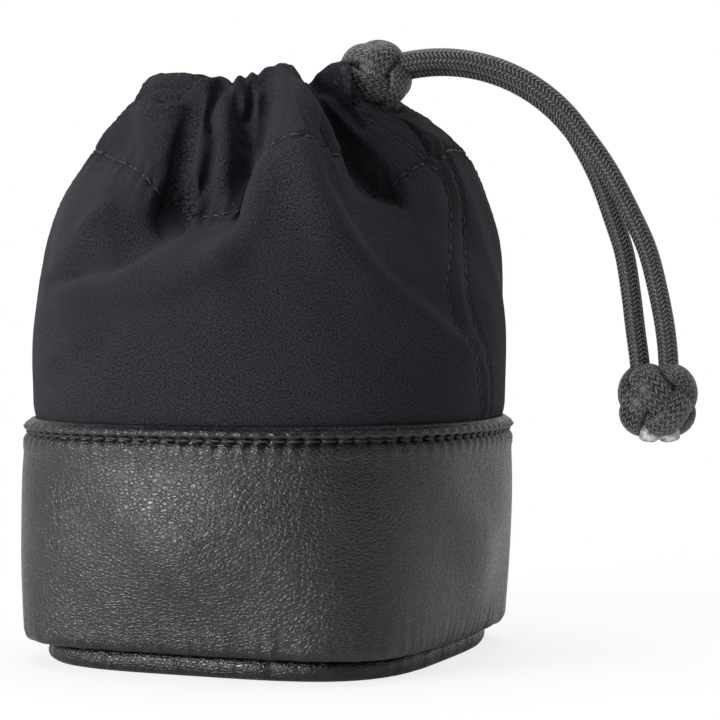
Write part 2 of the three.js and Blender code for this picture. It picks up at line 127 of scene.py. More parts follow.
turn = np.linspace(0, 2 * math.pi, 65)[:-1]
rim_of_paper = paper_reach * np.stack([np.cos(turn), np.sin(turn), 0 * turn], 1)
sheet_mesh = bpy.data.meshes.new("paper_sheet")
sheet_mesh.from_pydata(rim_of_paper.tolist(), [], [list(range(len(turn)))])
paper_sheet = add_object("paper_sheet", sheet_mesh)
sheet_mesh.materials.append(paper)
pouch_middle = (0, 0, 0.06)


def soft_box(name, place, wide, high, power):
    """A rectangular soft box at a place, turned to face the pouch's middle."""
    lamp = bpy.data.lights.new(name, "AREA")
    lamp.shape, lamp.size, lamp.size_y, lamp.energy = "RECTANGLE", wide, high, power
    made = add_object(name, lamp)
    away = np.array(place, float) - np.array(pouch_middle, float)
    made.location = place
    made.rotation_euler = (math.acos(away[2] / np.linalg.norm(away)), 0, math.atan2(away[0], -away[1]))


soft_box("front_left_box", (-0.66, -1.12, 0.29), 0.6, 0.42, 20.5)
soft_box("right_box", (1.1, 0.35, 0.55), 0.6, 0.9, 1.5)
soft_box("top_box", (-0.1, 0.1, 1.3), 0.9, 0.9, 10.0)

# The camera stands 22.2 degrees to the right of the pouch's front and looks down by 1.2 degrees.
camera_turn = math.radians(22.2)
camera_rise = math.radians(1.2)
to_camera = np.array([math.sin(camera_turn) * math.cos(camera_rise),
                      -math.cos(camera_turn) * math.cos(camera_rise), math.sin(camera_rise)])
lens = bpy.data.cameras.new("camera")
lens.lens, lens.sensor_width, lens.clip_start = 116.4, 36, 0.01
camera = add_object("camera", lens)
bpy.context.scene.camera = camera
camera.location = (0.19814, -0.43735, 0.06985)
camera.rotation_euler = (math.pi / 2 - camera_rise, 0, camera_turn)
bpy.context.scene.view_settings.view_transform = "Standard"

# The cord: one length of 4 mm braided nylon. Its loop is inside the pouch's channel, and its two
# strands leave the mouth side by side, run over an arc and hang to the knot that joins them. Its sheath
# has 12 columns of yarn stitches round it, 0.87 mm apart along it.
MM = 0.001
cord_radius = 2.0
braid_columns = 12
braid_pitch = 0.87


def cubic_weights(t):
    """The weights of a cubic's start, its slope there, its end and its slope there, at shares t of it."""
    return 2 * t**3 - 3 * t**2 + 1, t**3 - 2 * t**2 + t, 3 * t**2 - 2 * t**3, t**3 - t**2


def smooth_route(points, step):
    """A line through the points, in equal steps. Each stretch is a cubic in 32 parts, whose end slopes
    follow the centripetal Catmull-Rom rule, where a gap counts as the square root of its length."""
    p = np.asarray(points, float)
    p = np.vstack([2 * p[0] - p[1], p, 2 * p[-1] - p[-2]])
    gap = np.sqrt(np.linalg.norm(np.diff(p, axis=0), axis=1))[:, None]
    slope = np.diff(p, axis=0) / gap
    leave = (slope[:-2] - (p[2:-1] - p[:-3]) / (gap[:-2] + gap[1:-1]) + slope[1:-1]) * gap[1:-1]
    arrive = (slope[1:-1] - (p[3:] - p[1:-2]) / (gap[1:-1] + gap[2:]) + slope[2:]) * gap[1:-1]
    w = cubic_weights(np.linspace(0, 1, 33)[None, :-1, None])
    line = w[0] * p[1:-2, None] + w[1] * leave[:, None] + w[2] * p[2:-1, None] + w[3] * arrive[:, None]
    return even_steps(np.vstack([line.reshape(-1, 3), p[-2]]), step)


def lengths_along(line):
    """The length from the line's start to each of its points: the running sum of its steps."""
    return np.concatenate([[0], np.cumsum(np.linalg.norm(np.diff(line, axis=0), axis=1))])


def read_along(values, reach, marks):
    """The values at marks of length, on straight lines between the points."""
    return np.stack([np.interp(marks, reach, values[:, i]) for i in range(3)], -1)


def even_steps(line, step):
    """The same line with points in equal steps along its length."""
    reach = lengths_along(line)
    return read_along(line, reach, np.linspace(0, reach[-1], max(2, int(round(reach[-1] / step)) + 1)))


def unit(v):
    """The vectors at length one."""
    return v / np.maximum(np.linalg.norm(v, axis=-1, keepdims=True), 1e-9)


def tube_rings(line, outward, half_width, half_height, sides):
    """Rings of an oval section carried along a line: at each point, half_width times the cosine
    across the line and half_height times the sine towards outward."""
    ahead = unit(np.gradient(line, axis=0))
    across = unit(np.cross(ahead, outward))
    out_way = np.cross(across, ahead)
    a = np.linspace(0, 2 * math.pi, sides, endpoint=False)[None, :, None]
    sideways = across[:, None] * np.cos(a) * half_width
    return line[:, None] + sideways + out_way[:, None] * np.sin(a) * half_height


def skin_faces(rows, columns, loop_rows=False):
    """Quads between neighbouring rows of points. Columns close on themselves, and rows can too."""
    r = np.arange(rows if loop_rows else rows - 1)[:, None]
    c = np.arange(columns)[None, :]
    up, right = (r + 1) % rows, (c + 1) % columns
    quads = np.stack([r * columns + c, r * columns + right, up * columns + right, up * columns + c], -1)
    return quads.reshape(-1, 4)


def signed_volume(points, quads):
    """Six times the volume inside quads, from two corner triples of each: above zero when they face
    outwards."""
    a, b, c, d = (points[quads[:, i]] for i in range(4))
    return float(np.sum(np.einsum("ij,ij->i", a, np.cross(b, c)) + np.einsum("ij,ij->i", a, np.cross(c, d))))


def smooth_object(name, mesh, material):
    """The mesh shaded smooth, with its material, as an object in the scene."""
    mesh.polygons.foreach_set("use_smooth", np.ones(len(mesh.polygons), bool))
    mesh.update()
    mesh.materials.append(material)
    return add_object(name, mesh)


def make_piece(name, shells, material):
    """One mesh from shells. A shell is (rows x columns x 3 points in mm, whether its rows close on
    themselves, whether its ends are capped, and its uv at each point or nothing). A shell whose quads
    face inwards is turned, and a quad over the uv's seam counts on into the next turn."""
    points, faces, uvs, first = [], [], [], 0
    for grid, loop_rows, capped, uv in shells:
        rows, columns = grid.shape[:2]
        flat = grid.reshape(-1, 3)
        quads = skin_faces(rows, columns, loop_rows)
        turned = signed_volume(flat - flat.mean(0), quads) < 0
        if turned:
            quads = quads[:, ::-1]
        points.append(flat)
        faces.append(quads + first)
        if uv is not None:
            spread = uv.reshape(-1, 2)[quads]
            wide = spread[..., 0]
            wide[(wide.max(1) - wide.min(1) > 0.5)[:, None] & (wide < 0.5)] += 1
            uvs.append(spread.reshape(-1, 2))
        if capped:
            for row in (0, rows - 1):
                ring = np.arange(columns) + row * columns
                hub = len(flat) + (row > 0)
                points.append(flat[ring].mean(0)[None])
                fan = np.stack([np.full(columns, hub), ring, np.roll(ring, -1)], 1)
                if (row == 0) != turned:
                    fan = fan[:, [0, 2, 1]]
                faces.append(fan + first)
                if uv is not None:
                    uvs.append(np.zeros((fan.size, 2)) + uv.reshape(-1, 2)[row * columns])
            first += 2
        first += len(flat)
    mesh = bpy.data.meshes.new(name)
    mesh.from_pydata((np.vstack(points) * MM).tolist(), [], [f for part in faces for f in part.tolist()])
    if uvs:
        layer = mesh.uv_layers.new(name="along")
        layer.data.foreach_set("uv", np.vstack(uvs).astype(np.float32).ravel())
    return smooth_object(name, mesh, material)


def cord_uv(rings, line):
    """Around the cord from 0 to 1, and along it in braid pitches."""
    turns = np.arange(rings.shape[1]) / rings.shape[1]
    return np.stack(np.broadcast_arrays(turns[None, :], (lengths_along(line) / braid_pitch)[:, None]), -1)


# Braided nylon, plaited from round bundles of yarn: slanted stitches with a soft shine, in columns that
# lean left and right in turn. The stitches' tops are painted light as a painted highlight, and the gaps
# between them are painted dark as painted shade.
braid, tree, where = new_material("braided_nylon")
uv = add_node(tree, "SeparateXYZ", {0: add_node(tree, "UVMap", uv_map="along")})
column = add_node(tree, "Math", {0: uv.outputs[0], 1: float(braid_columns)}, operation="MULTIPLY")
lean = add_node(tree, "Math", {0: column, 1: 1.0}, operation="PINGPONG")
phase = add_node(tree, "Math", {0: lean, 1: 0.9, 2: uv.outputs[1]}, operation="MULTIPLY_ADD")
dash = add_node(tree, "Math", {0: phase, 1: 0.5}, operation="PINGPONG")
dash_height = add_node(tree, "MapRange", {"Value": dash, "From Min": 0.16, "From Max": 0.42}, **eased)
seam = add_node(tree, "Math", {0: column, 1: 0.5}, operation="PINGPONG")
seam_depth = add_node(tree, "MapRange", {"Value": seam, "From Min": 0.02, "From Max": 0.2}, **eased)
stitch_height = add_node(tree, "Math", {0: dash_height, 1: seam_depth}, operation="MULTIPLY")
spots = add_node(tree, "TexNoise", {"Vector": where, "Scale": 900.0, "Detail": 2.0})
shade = add_node(tree, "Math", {0: stitch_height, 1: spots}, operation="MULTIPLY")
# Painted highlight and shade: raised stitch tops get the light grey, and the gaps between stitches and
# columns get the near black.
painted_yarn_light_and_gap_shade = add_node(tree, "Mix", {0: shade, 6: linear("08080a"), 7: linear("7c7c84")}, data_type="RGBA")
relief = add_node(tree, "Bump", {"Height": stitch_height, "Strength": 1.0, "Distance": 0.00022})
surface = add_node(tree, "BsdfPrincipled", {"Base Color": painted_yarn_light_and_gap_shade.outputs[2], "Roughness": 0.5, "Normal": relief,
                                            "Sheen Weight": 0.15, "Sheen Roughness": 0.4})
add_node(tree, "OutputMaterial", {"Surface": surface})

cord_heading = math.radians(15)
ahead_way = np.array([math.cos(cord_heading), math.sin(cord_heading), 0])
aside_way = np.array([-math.sin(cord_heading), math.cos(cord_heading), 0])
high_way = np.array([0.0, 0.0, 1.0])
arc_centre = np.array([35.6, 3.2, 85.9])
arc_radius = 34.0


def arc_point(angle, rise, side):
    """Points on the strands' arc: the radius and rise turned by the angle, and a step to the side."""
    a = np.reshape(angle, (-1, 1))
    outwards = ahead_way * np.cos(a) + high_way * np.sin(a)
    return arc_centre + (arc_radius + rise) * outwards + side * aside_way


def hang_point(reach, side, z):
    """A point of the hanging part: its reach from the arc's centre, its side and its height."""
    p = arc_centre + reach * ahead_way + side * aside_way
    p[2] = z
    return p


# The strands' points in mm. Those at the start are places, and those of the hanging part are the reach
# from the arc's centre, the side and the height.
strand_arc = np.radians(np.linspace(126, 35, 17))
strand_rise = 0.6
strand_side = 2.07
front_start = [(15.9, -11.9, 105.5), (13.9, -12.6, 106.9), (13, -10.6, 110.3), (14.9, -7.3, 111.8)]
back_start = [(13.9, 9.9, 108.0), (12.4, 9.3, 109.6), (13, 5.7, 110.9), (14.3, 2.7, 111.5)]
front_hang = [(33.4, -2.07, 98.6), (38.2, -2, 89.6), (41.6, -1.8, 82), (43.7, -1.4, 74), (45.2, -0.9, 66.1),
              (45.8, -0.4, 60), (45.9, -0.2, 55.4)]
back_hang = [(31.6, 2.07, 97.2), (34.9, 2, 88.2), (37, 1.8, 81.6), (38.3, 1.4, 74), (39.3, 0.9, 66),
             (40.1, 0.4, 60), (40.5, 0.2, 55.4)]
strand_lines = {}
for name, start, rise, side, hang in (("front", front_start, strand_rise, -strand_side, front_hang),
                                      ("back", back_start, -strand_rise, strand_side, back_hang)):
    route = start + list(arc_point(strand_arc, rise, side)) + [hang_point(*h) for h in hang]
    line = smooth_route(route, 0.5)
    rings = tube_rings(line, unit(line - arc_centre), cord_radius, cord_radius, 24)
    shell = (rings, False, True, cord_uv(rings, line))
    strand_lines[name] = (line, make_piece("strand_" + name, [shell], braid))

# The knots: each is a round plait of three leads and four bights, drawn tight, so that the
# cord lies in wide flat bands over and under itself. One slides, and one is at the cord's end.
knot_radius = 7.9
band_half_width = 2.75
band_half_height = 1.55
bands_apart = 1.9
knot_reach = math.radians(56)
band_points = 400
band_sides = 20
core_radius = 4.6
core_reach = 1.35


def knot_shells(centre, axis, sideways, phase, squash, size):
    """The plait: round the axis three times while it swings four times from pole to pole, and in and
    out eight times, as a flat band that faces away from the centre, with the braid's pattern twice
    round it. Squash is its height against its width. A ball of the same braid fills its inside."""
    ways = np.stack([sideways, np.cross(axis, sideways), axis])
    t = np.linspace(0, 2 * math.pi, band_points + 1)[:-1]
    swing = knot_reach * np.cos(4 * t)
    reach = size * (knot_radius - band_half_height - bands_apart / 2 * (1 - np.sin(8 * t)))
    spin = 3 * t + phase
    local = np.stack([reach * np.cos(swing) * np.cos(spin), reach * np.cos(swing) * np.sin(spin),
                      reach * np.sin(swing) * squash], 1)
    line = centre + local @ ways
    looped = np.vstack([line[-3:], line, line[:3]])
    half_width, half_height = size * band_half_width, size * band_half_height
    rings = tube_rings(looped, unit(looped - centre), half_width, half_height, band_sides)[3:-3]
    pitches = round(lengths_along(np.vstack([line, line[:1]]))[-1] / braid_pitch)
    twice_round = np.arange(band_sides) / (band_sides // 2) % 1
    along = np.arange(band_points) / band_points * pitches
    uv = np.stack(np.broadcast_arrays(twice_round[None, :], along[:, None]), -1)
    closed = np.vstack([rings, rings[:1]])
    closed_uv = np.concatenate([uv, uv[:1] + [0, pitches]])
    up = np.linspace(-core_reach, core_reach, 13)[:, None]
    turn = np.linspace(0, 2 * math.pi, 25)[None, :-1]
    ball = np.stack([np.cos(up) * np.cos(turn), np.cos(up) * np.sin(turn), np.sin(up) + 0 * turn], -1)
    core = centre + core_radius * size * ball @ ways
    core_uv = np.stack(np.broadcast_arrays(turn / (2 * math.pi), up * 4), -1)
    return [(closed, False, False, closed_uv), (core, False, True, core_uv)]


slider_angle = math.radians(112)
slider_axis = ahead_way * math.sin(slider_angle) - high_way * math.cos(slider_angle)
slider_centre = arc_point(slider_angle, 0, 0)[0]
sliding_knot = make_piece("sliding_plait_knot",
                          knot_shells(slider_centre, slider_axis, aside_way, 0.3, 0.96, 1.0), braid)
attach(sliding_knot, "slider")
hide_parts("sliding_knot")

end_centre = hang_point(43.7, 0, 52.2)
end_knot = make_piece("end_plait_knot", knot_shells(end_centre, high_way, aside_way, 0.5, 1.0, 1.1), braid)
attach(end_knot, "pouch")
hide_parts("end_knot")

# Melted nylon: the cut ends of the cord are sealed with a flame, which leaves a pale, uneven, slightly
# shiny crust with darker burnt spots.
melted, tree, where = new_material("melted_nylon")
crust = add_node(tree, "TexNoise", {"Vector": where, "Scale": 700.0, "Detail": 4.0})
burnt = add_node(tree, "ValToRGB", {0: crust})
for stop, position, code in zip(burnt.color_ramp.elements, (0.35, 0.62), ("4a484a", "b4b0b0")):
    stop.position = position
    stop.color = linear(code)
bumps = add_node(tree, "Bump", {"Height": crust, "Strength": 0.8, "Distance": 0.0004})
surface = add_node(tree, "BsdfPrincipled", {"Base Color": burnt, "Roughness": 0.45, "Normal": bumps})
add_node(tree, "OutputMaterial", {"Surface": surface})
tips_apart = 1.9
tips_below = 8.2
tips_forward = 2.6


def melted_tip(name, node, side):
    """A short stub that bulges at its melted end: rings whose radius grows to a rounded lip, which
    waves three and seven times round."""
    foot = end_centre + side * tips_apart * ahead_way - tips_below * high_way + tips_forward * to_camera
    rise = np.array([0, 0.15, 0.5, 1.0, 1.8, 3.2])[:, None]
    radius = np.array([0.9, 1.6, 2.05, 2.1, 2.0, 1.9])[:, None]
    turn = np.linspace(0, 2 * math.pi, 25)[None, :-1]
    uneven = radius * (1 + 0.05 * np.cos(3 * turn + side) + 0.03 * np.cos(7 * turn))
    ahead, aside = uneven * np.cos(turn), uneven * np.sin(turn)
    rise = rise + 0.2 * np.cos(2 * turn + side) * (rise < 1)
    grid = (foot + ahead[..., None] * ahead_way + aside[..., None] * aside_way + rise[..., None] * high_way)
    piece = make_piece(name, [(grid, False, True, None)], melted)
    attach(piece, "pouch")
    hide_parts(node)
    return piece


tip_inner = melted_tip("melted_tip_inner", "cord_tip_inner", -1)
tip_outer = melted_tip("melted_tip_outer", "cord_tip_outer", 1)

for name, (line, piece) in strand_lines.items():
    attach(piece, "pouch")
    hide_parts("cord_strand_" + name)

# The leather: a wall of soft pebbled leather round the foam, with its top edge turned in and sewn,
# and a flat panel under the foot, whose seam draws the leather in to a wrinkled groove.
base_height = 4.2
foot_z = 4.5
rim_z = 48.5
leather = 1.4
foot_half = 42.6
rim_widening = 5.2
foot_power = 4.6
rim_power = 2.3
flattened = np.array([1, 1, 0])


def square_reach(half, power, angle):
    """How far a rounded square reaches in a direction: its half width over the power mean of the
    direction's cosine and sine."""
    return half / (np.abs(np.cos(angle))**power + np.abs(np.sin(angle))**power)**(1 / power)


def around(reach, z, angle):
    """Points at a reach from the pouch's axis and a height: the reach times the cosine and the sine."""
    return np.stack(np.broadcast_arrays(reach * np.cos(angle), reach * np.sin(angle), z), -1)


def wall_point(z, inset, angle):
    """The leather wall's outer face moved in by an inset: a rounded square, whose half width grows
    and whose corners soften from the foot to the rim."""
    share = np.clip((z - base_height) / (rim_z - base_height), 0, 1)
    half = foot_half + rim_widening * share - inset
    return around(square_reach(half, foot_power + (rim_power - foot_power) * share, angle), z, angle)


def ripple(x, counts, seed):
    """A sum of cosines round the pouch with these wave counts, with phases drawn once from the seed."""
    phases = np.random.default_rng(seed).uniform(0, 2 * math.pi, len(counts))
    return sum(np.cos(n * x + p) for n, p in zip(counts, phases)) / len(counts)**0.5


def bell(x, middle, width):
    """A bell curve: one at the middle, and about a third of that at a width from it."""
    return np.exp(-((x - middle) / width)**2)


wall_columns = 900
hem_stitch_count = 97
stitch_z = rim_z - 2.8
wall_angles = np.linspace(0, 2 * math.pi, wall_columns, endpoint=False)[None, :]
foot_rows = np.array([0, 0.25, 0.6, 1.1, 1.7, 2.4])
hem_rows = np.array([-1.2, -0.8, -0.5, -0.2, 0.1, 0.4, 0.7, 1.1, 1.6, 2.05])
rows_z = np.concatenate([foot_z + foot_rows, np.linspace(foot_z + 3.1, stitch_z - 1.6, 34),
                         stitch_z + hem_rows])[:, None]
above_foot = rows_z - foot_z
foot_roundness = leather * np.array([1.0, 0.62, 0.33, 0.14, 0.04, 0.0])
outer = wall_point(rows_z, np.interp(rows_z, foot_z + foot_rows, foot_roundness), wall_angles)
out_way = unit(around(1, 0, wall_angles))
# The groove's seam wrinkles the foot. The foam bulges the four flats, and the leather lies a little slack.
wrinkles = 0.16 * ripple(wall_angles, (61, 83, 97, 118), 3) + 0.18 * ripple(wall_angles, (17, 29, 37), 4)
wrinkles = np.exp(-above_foot / 3.2) * wrinkles
bulge = 3.0 * bell(rows_z, 25, 12.0) * np.cos(2 * wall_angles)**4
slack = 0.25 * ripple(wall_angles + 0.02 * rows_z, (5, 7, 9, 13), 5)
slack = slack * np.sin(np.pi * np.clip(above_foot / 44, 0, 1))
# The stitches pull the leather in along their line, nip it and sink in holes, and it puffs out above
# and below them.
by_stitch = np.cos(hem_stitch_count * wall_angles)
pulled = -0.55 * bell(rows_z, stitch_z, 0.75)
nips = -0.2 * by_stitch * bell(rows_z, stitch_z, 2.4)
holes = -0.9 * bell(rows_z, stitch_z, 0.4) * np.clip(by_stitch * 3 - 2, 0, 1)
puff = 0.75 * bell(rows_z, stitch_z + 1.0, 0.7) + 0.35 * bell(rows_z, stitch_z - 2.0, 1.3)
outer = outer + (wrinkles + bulge + slack + pulled + nips + holes + puff)[..., None] * out_way
# The rim is rolled in, and the turned-in edge runs down behind the stitches.
roll_radius = 1.3
bend = np.linspace(0, math.pi, 9)[1:-1, None]
top = wall_point(rim_z - roll_radius + 0 * bend, roll_radius, wall_angles)
top = top + (roll_radius * np.cos(bend) + 0.12 * ripple(wall_angles, (23, 31, 41), 6))[..., None] * out_way
top[..., 2] = rim_z - roll_radius + roll_radius * np.sin(bend)
inner_z = np.array([rim_z - 1.5, rim_z - 6, 30, 15, foot_z + 2.7, foot_z])[:, None]
inner_inset = np.array([2.8, 2.8, 1.5, 1.5, 1.5, 2.8])[:, None]
wall_grid = np.concatenate([outer, top, wall_point(inner_z, inner_inset, wall_angles)])

# Pebbled calf, drum-dyed black: rounded pebbles 1.15 mm wide and flatter in height, between fine creases
# that are matter than the pebbles' tops, under a soft half-gloss finish. The creases are painted darker
# than the tops as painted shade. Finer creases cross the pebbles, and broad low swells make the shine
# uneven.
pebble = 0.00115
calf, tree, where = new_material("pebbled_black_calf")
drift = add_node(tree, "TexNoise", {"Vector": where, "Scale": 260.0, "Detail": 2.0})
bent = add_node(tree, "VectorMath", {0: drift.outputs["Color"], 1: (0.0022, 0.0022, 0.0012), 2: where},
                operation="MULTIPLY_ADD")
squeezed = add_node(tree, "Mapping", {"Vector": bent, "Scale": (1.0, 1.0, 1.7)})
cells = add_node(tree, "TexVoronoi", {"Vector": squeezed, "Scale": 1 / pebble, "Randomness": 0.9},
                 feature="DISTANCE_TO_EDGE")
fine = add_node(tree, "TexVoronoi", {"Vector": squeezed, "Scale": 2.1 / pebble}, feature="DISTANCE_TO_EDGE")
crease = add_node(tree, "MapRange", {"Value": cells, "From Max": 0.26}, **eased)
fine_crease = add_node(tree, "MapRange", {"Value": fine, "From Max": 0.3}, **eased)
height = add_node(tree, "Math", {0: fine_crease, 1: 0.3, 2: crease}, operation="MULTIPLY_ADD")
cloudy = add_node(tree, "TexNoise", {"Vector": where, "Scale": 120.0, "Detail": 2.0})
uneven = add_node(tree, "Math", {0: cloudy, 1: 0.9, 2: height}, operation="MULTIPLY_ADD")
# Painted shade: the colour goes near black in the creases, where shade falls, and lighter on the pebbles'
# tops.
painted_crease_shade = add_node(tree, "Mix", {0: crease, 6: linear("010102"), 7: linear("0c0c10")}, data_type="RGBA")
gloss = add_node(tree, "MapRange", {"Value": crease, "To Min": 0.5, "To Max": 0.33})
grain = add_node(tree, "Bump", {"Height": uneven, "Strength": 0.75, "Distance": 0.0001})
surface = add_node(tree, "BsdfPrincipled", {"Base Color": painted_crease_shade.outputs[2], "Roughness": gloss,
                                            "Normal": grain, "Specular IOR Level": 0.6})
add_node(tree, "OutputMaterial", {"Surface": surface})
wall = make_piece("leather_wall_skin", [(wall_grid, True, False, None)], calf)
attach(wall, "pouch")
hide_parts("leather_wall")

# The panel under the foot: one piece of the same leather, drawn up round the board's edge to a rounded
# lip, which stands in small wrinkles beside the groove. Its rows are a height and an inset.
base_half = 39.8
base_inside_half = 37.7
base_power = 3.7
lip = np.array([[0, 1.8], [0.12, 1.35], [0.5, 0.75], [1.1, 0.3], [1.9, 0.05], [2.7, 0.0], [3.4, 0.2],
                [3.95, 0.6], [4.2, 1.1]])
lip_wrinkle = 0.16 * ripple(wall_angles, (43, 57, 71, 88), 8) + 0.12 * ripple(wall_angles, (19, 27), 9)
lip_wrinkle = lip_wrinkle * np.sin(np.pi * np.clip(lip[:, :1] / base_height, 0, 1))
lip_reach = square_reach(base_half - lip[:, 1:], base_power, wall_angles) + lip_wrinkle
lip_grid = around(lip_reach, lip[:, :1], wall_angles)
inside_z = np.array([3.5, leather])[:, None]
inside = around(square_reach(base_inside_half + 0 * inside_z, base_power, wall_angles), inside_z, wall_angles)
floor_shares = np.array([0.75, 0.5, 0.25, 0.06])[:, None, None]
under = lip_grid[0] * flattened * floor_shares
over = inside[1] * flattened * floor_shares + leather * high_way
base_grid = np.concatenate([under[::-1], lip_grid, inside, over])[:, ::3]
base = make_piece("leather_base_skin", [(base_grid, False, True, None)], calf)
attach(base, "pouch")
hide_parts("leather_base")

# The cloth: one panel of plain-woven black cotton and nylon, 305 mm round, sewn behind the leather's
# hem. Its top is turned in for the cord's channel and drawn together, so it stands in deep folds.
panel_width = 305.0
tuck = 7.0
# The camera in the picture: its focus in pixels, the middle column, the row of things at its own height,
# and its distance, step to the right and height from the pouch's axis in mm.
picture_focus = 2328.0
picture_middle = 360.0
level_row = 311.2
camera_distance = 480.0
camera_across = 18.2
camera_height = 69.85
# The panel's thread lines that the picture shows. Each is named by its angle round the pouch, and has
# five points up it: at the shoulder, below the channel's stitches, on them, in the channel's middle and
# at the mouth's edge. A point is its pixel column, its pixel row and how far away it is in mm.
seen_lines = {
    -160: [(50, 236, 4), (67, 190, 6), (94, 151, 8), (112, 127, 5), (138, 98, 4)],
    -140: [(65, 240, -18), (88, 197, -15), (118, 160, -9), (128, 130, -8), (150, 79, -1)],
    -125: [(98, 252, -31), (120, 214, -25), (145, 176, -21), (150, 133, -16), (170, 76, -7)],
    -118: [(118, 262, -36), (142, 222, -27.5), (165, 195, -23.5), (171, 142, -19.5), (186, 77, -11)],
    -113.5: [(134, 259, -38.5), (160, 226, -29), (180, 204, -23), (184, 145, -19.5), (196, 79, -14)],
    -107: [(150, 256, -40.5), (178, 231, -32), (193, 211, -28), (198, 150, -25), (206, 80, -18)],
    -102: [(167, 255, -42), (194, 232, -33), (206, 214, -27.5), (212, 148, -25), (218, 82, -18)],
    -95: [(190, 254, -44), (212, 232, -35), (226, 214, -30), (227, 150, -27), (231, 83, -20)],
    -88.5: [(214, 252, -45.5), (233, 229, -36), (246, 211, -28.5), (248, 150, -24.5), (248, 77, -19.2)],
    -83: [(228, 248, -46.5), (243, 222, -38), (256, 194, -29), (261, 140, -24), (263, 75, -19.5)],
    -73: [(247, 240, -47.5), (255, 198, -41), (265, 158, -34), (273, 112, -28.5), (280, 66, -20)],
    -65: [(272, 236, -48), (276, 187, -43), (282, 141, -37), (286, 103, -31), (288, 64, -21)],
    -60: [(297, 234, -48.5), (299, 184, -44), (300, 138.5, -38), (298, 102, -32), (294, 66, -21)],
    -54.5: [(322, 236, -48.5), (321, 186, -43.5), (321, 143, -37), (311, 106, -31), (298, 75, -20)],
    -49: [(345, 240, -46.5), (341, 192, -41), (337, 151, -34), (322, 113, -28), (302, 83, -19)],
    -40.5: [(378, 251, -42.5), (360, 207, -35), (345, 170, -26.5), (327, 128, -21.5), (305, 86, -16.5)],
    -32: [(404, 254, -37), (384, 214, -29.5), (358, 188, -22.5), (340, 140, -18.5), (311, 85, -15)],
    -24: [(424, 250, -31.5), (406, 215, -27), (386, 190, -22.3), (361, 134, -20), (321, 75, -14.5)],
    -18: [(437, 245, -27.5), (420, 208, -26), (401, 177, -22), (374, 121, -19.5), (337, 66, -14)],
    -12.5: [(446, 240, -23.5), (434, 200, -22.5), (419, 166, -20), (392, 124, -17.5), (353, 96, -17)],
    -5: [(456, 237, -17), (450, 196, -15), (437, 157, -12.5), (418, 130, -10), (394, 114, -6.5)],
    6.5: [(474, 235, -8), (466, 191, -6), (452, 150, -3), (430, 124, -1), (405, 107, 0)],
    20.5: [(490, 233, 3), (480, 190, 5), (465, 155, 6), (438, 130, 8), (402, 105, 7)],
    34: [(498, 233, 14), (485, 190, 15), (466, 158, 16), (434, 131, 15), (394, 101, 11)],
}
# The lines at the back, where no picture shows them: across, away and height in mm.
hidden_lines = {
    50: [(42, 27, 86), (37.5, 26, 96), (33, 22, 101), (25, 17, 110.5), (18.5, 11, 116)],
    64: [(35, 37, 86.5), (31, 34, 97), (27, 30, 102.5), (22, 21.5, 112), (15, 13.5, 118)],
    80: [(25, 41, 84.5), (20.5, 33, 92), (17, 23, 96.5), (13, 15.5, 107), (9.5, 9.5, 116.5)],
    94: [(14, 46, 86), (11, 41, 96), (9, 33, 102), (6.5, 22.5, 112), (5, 12.5, 118)],
    107: [(4, 47.5, 86.5), (2.5, 42, 97.5), (1, 35, 103.5), (0, 24, 112.5), (0, 13.5, 118.5)],
    122: [(-9, 46, 85.5), (-8, 38, 93.5), (-7, 29, 98.5), (-6, 19, 109), (-5, 11, 117.5)],
    134: [(-18.5, 42, 84.5), (-15, 33.5, 91.5), (-12.5, 24, 96), (-11, 17, 106.5), (-10.5, 11.5, 117.5)],
    150: [(-30, 36, 86), (-26, 33, 96), (-22, 29, 101), (-17.5, 21, 111), (-15, 13, 119.3)],
    165: [(-38, 26, 86), (-33, 23, 95.5), (-28, 19.5, 99.5), (-25, 15, 110.5), (-24.6, 11, 119.2)],
    182: [(-43, 15, 85.8), (-38.5, 13, 96), (-32.5, 12.5, 101.5), (-29, 10, 110), (-27.4, 7, 116.3)],
}
line_places = np.array([0.0, 0.5, 0.95, 1.2, 1.43, 1.72, 2.0])
stitch_place = 1.43
# How long a degree round the panel and a place up it are, in mm.
degree_length = 0.85
place_length = 42
cloth_half = 46.9
narrowing = 2.7
swell = 1.75
body_height = 39.5


def smooth_cloth(place, angle):
    """The body of the cloth without folds, from the rim at 0 to the shoulder at 1: a rounded square
    that bulges by a half sine and narrows."""
    share = np.clip(place, 0, 1)
    half = cloth_half - narrowing * share + swell * np.sin(np.pi * share)
    return around(square_reach(half, rim_power - 0.25 * share, angle), rim_z + body_height * share, angle)


def from_camera_side(points):
    """Turns across and away into x and y, by the camera's angle round the pouch."""
    c, s = math.cos(camera_turn), math.sin(camera_turn)
    across, away = points[..., 0], points[..., 1]
    return np.stack([across * c - away * s, across * s + away * c, points[..., 2]], -1)


def from_picture(points):
    """Across, away and height of pixels: the offset from the picture's middle and its level row, times
    the distance over the focus, from the camera's place."""
    p = np.array(points, float)
    scale = (camera_distance + p[..., 2]) / picture_focus
    across = camera_across + (p[..., 0] - picture_middle) * scale
    return np.stack([across, p[..., 2], camera_height - (p[..., 1] - level_row) * scale], -1)


def spline_shares(knots, at):
    """The share of each knot's value in a smooth curve, at each wanted spot. The curve is a cubic
    between knots, with the slope at a knot weighed from its two neighbours by their gaps."""
    n = len(knots)
    gap = np.diff(knots)
    step = np.zeros((n - 1, n))
    step[np.arange(n - 1), np.arange(n - 1)] = -1 / gap
    step[np.arange(n - 1), np.arange(1, n)] = 1 / gap
    slope = np.zeros((n, n))
    slope[0], slope[-1] = step[0], step[-1]
    w = (gap[1:] / (gap[1:] + gap[:-1]))[:, None]
    slope[1:-1] = w * step[:-1] + (1 - w) * step[1:]
    i = np.clip(np.searchsorted(knots, at, side="right") - 1, 0, n - 2)
    h = gap[i][:, None]
    w = cubic_weights(((at - knots[i]) / gap[i])[:, None])
    eye = np.eye(n)
    return w[0] * eye[i] + w[1] * h * slope[i] + w[2] * eye[i + 1] + w[3] * h * slope[i + 1]


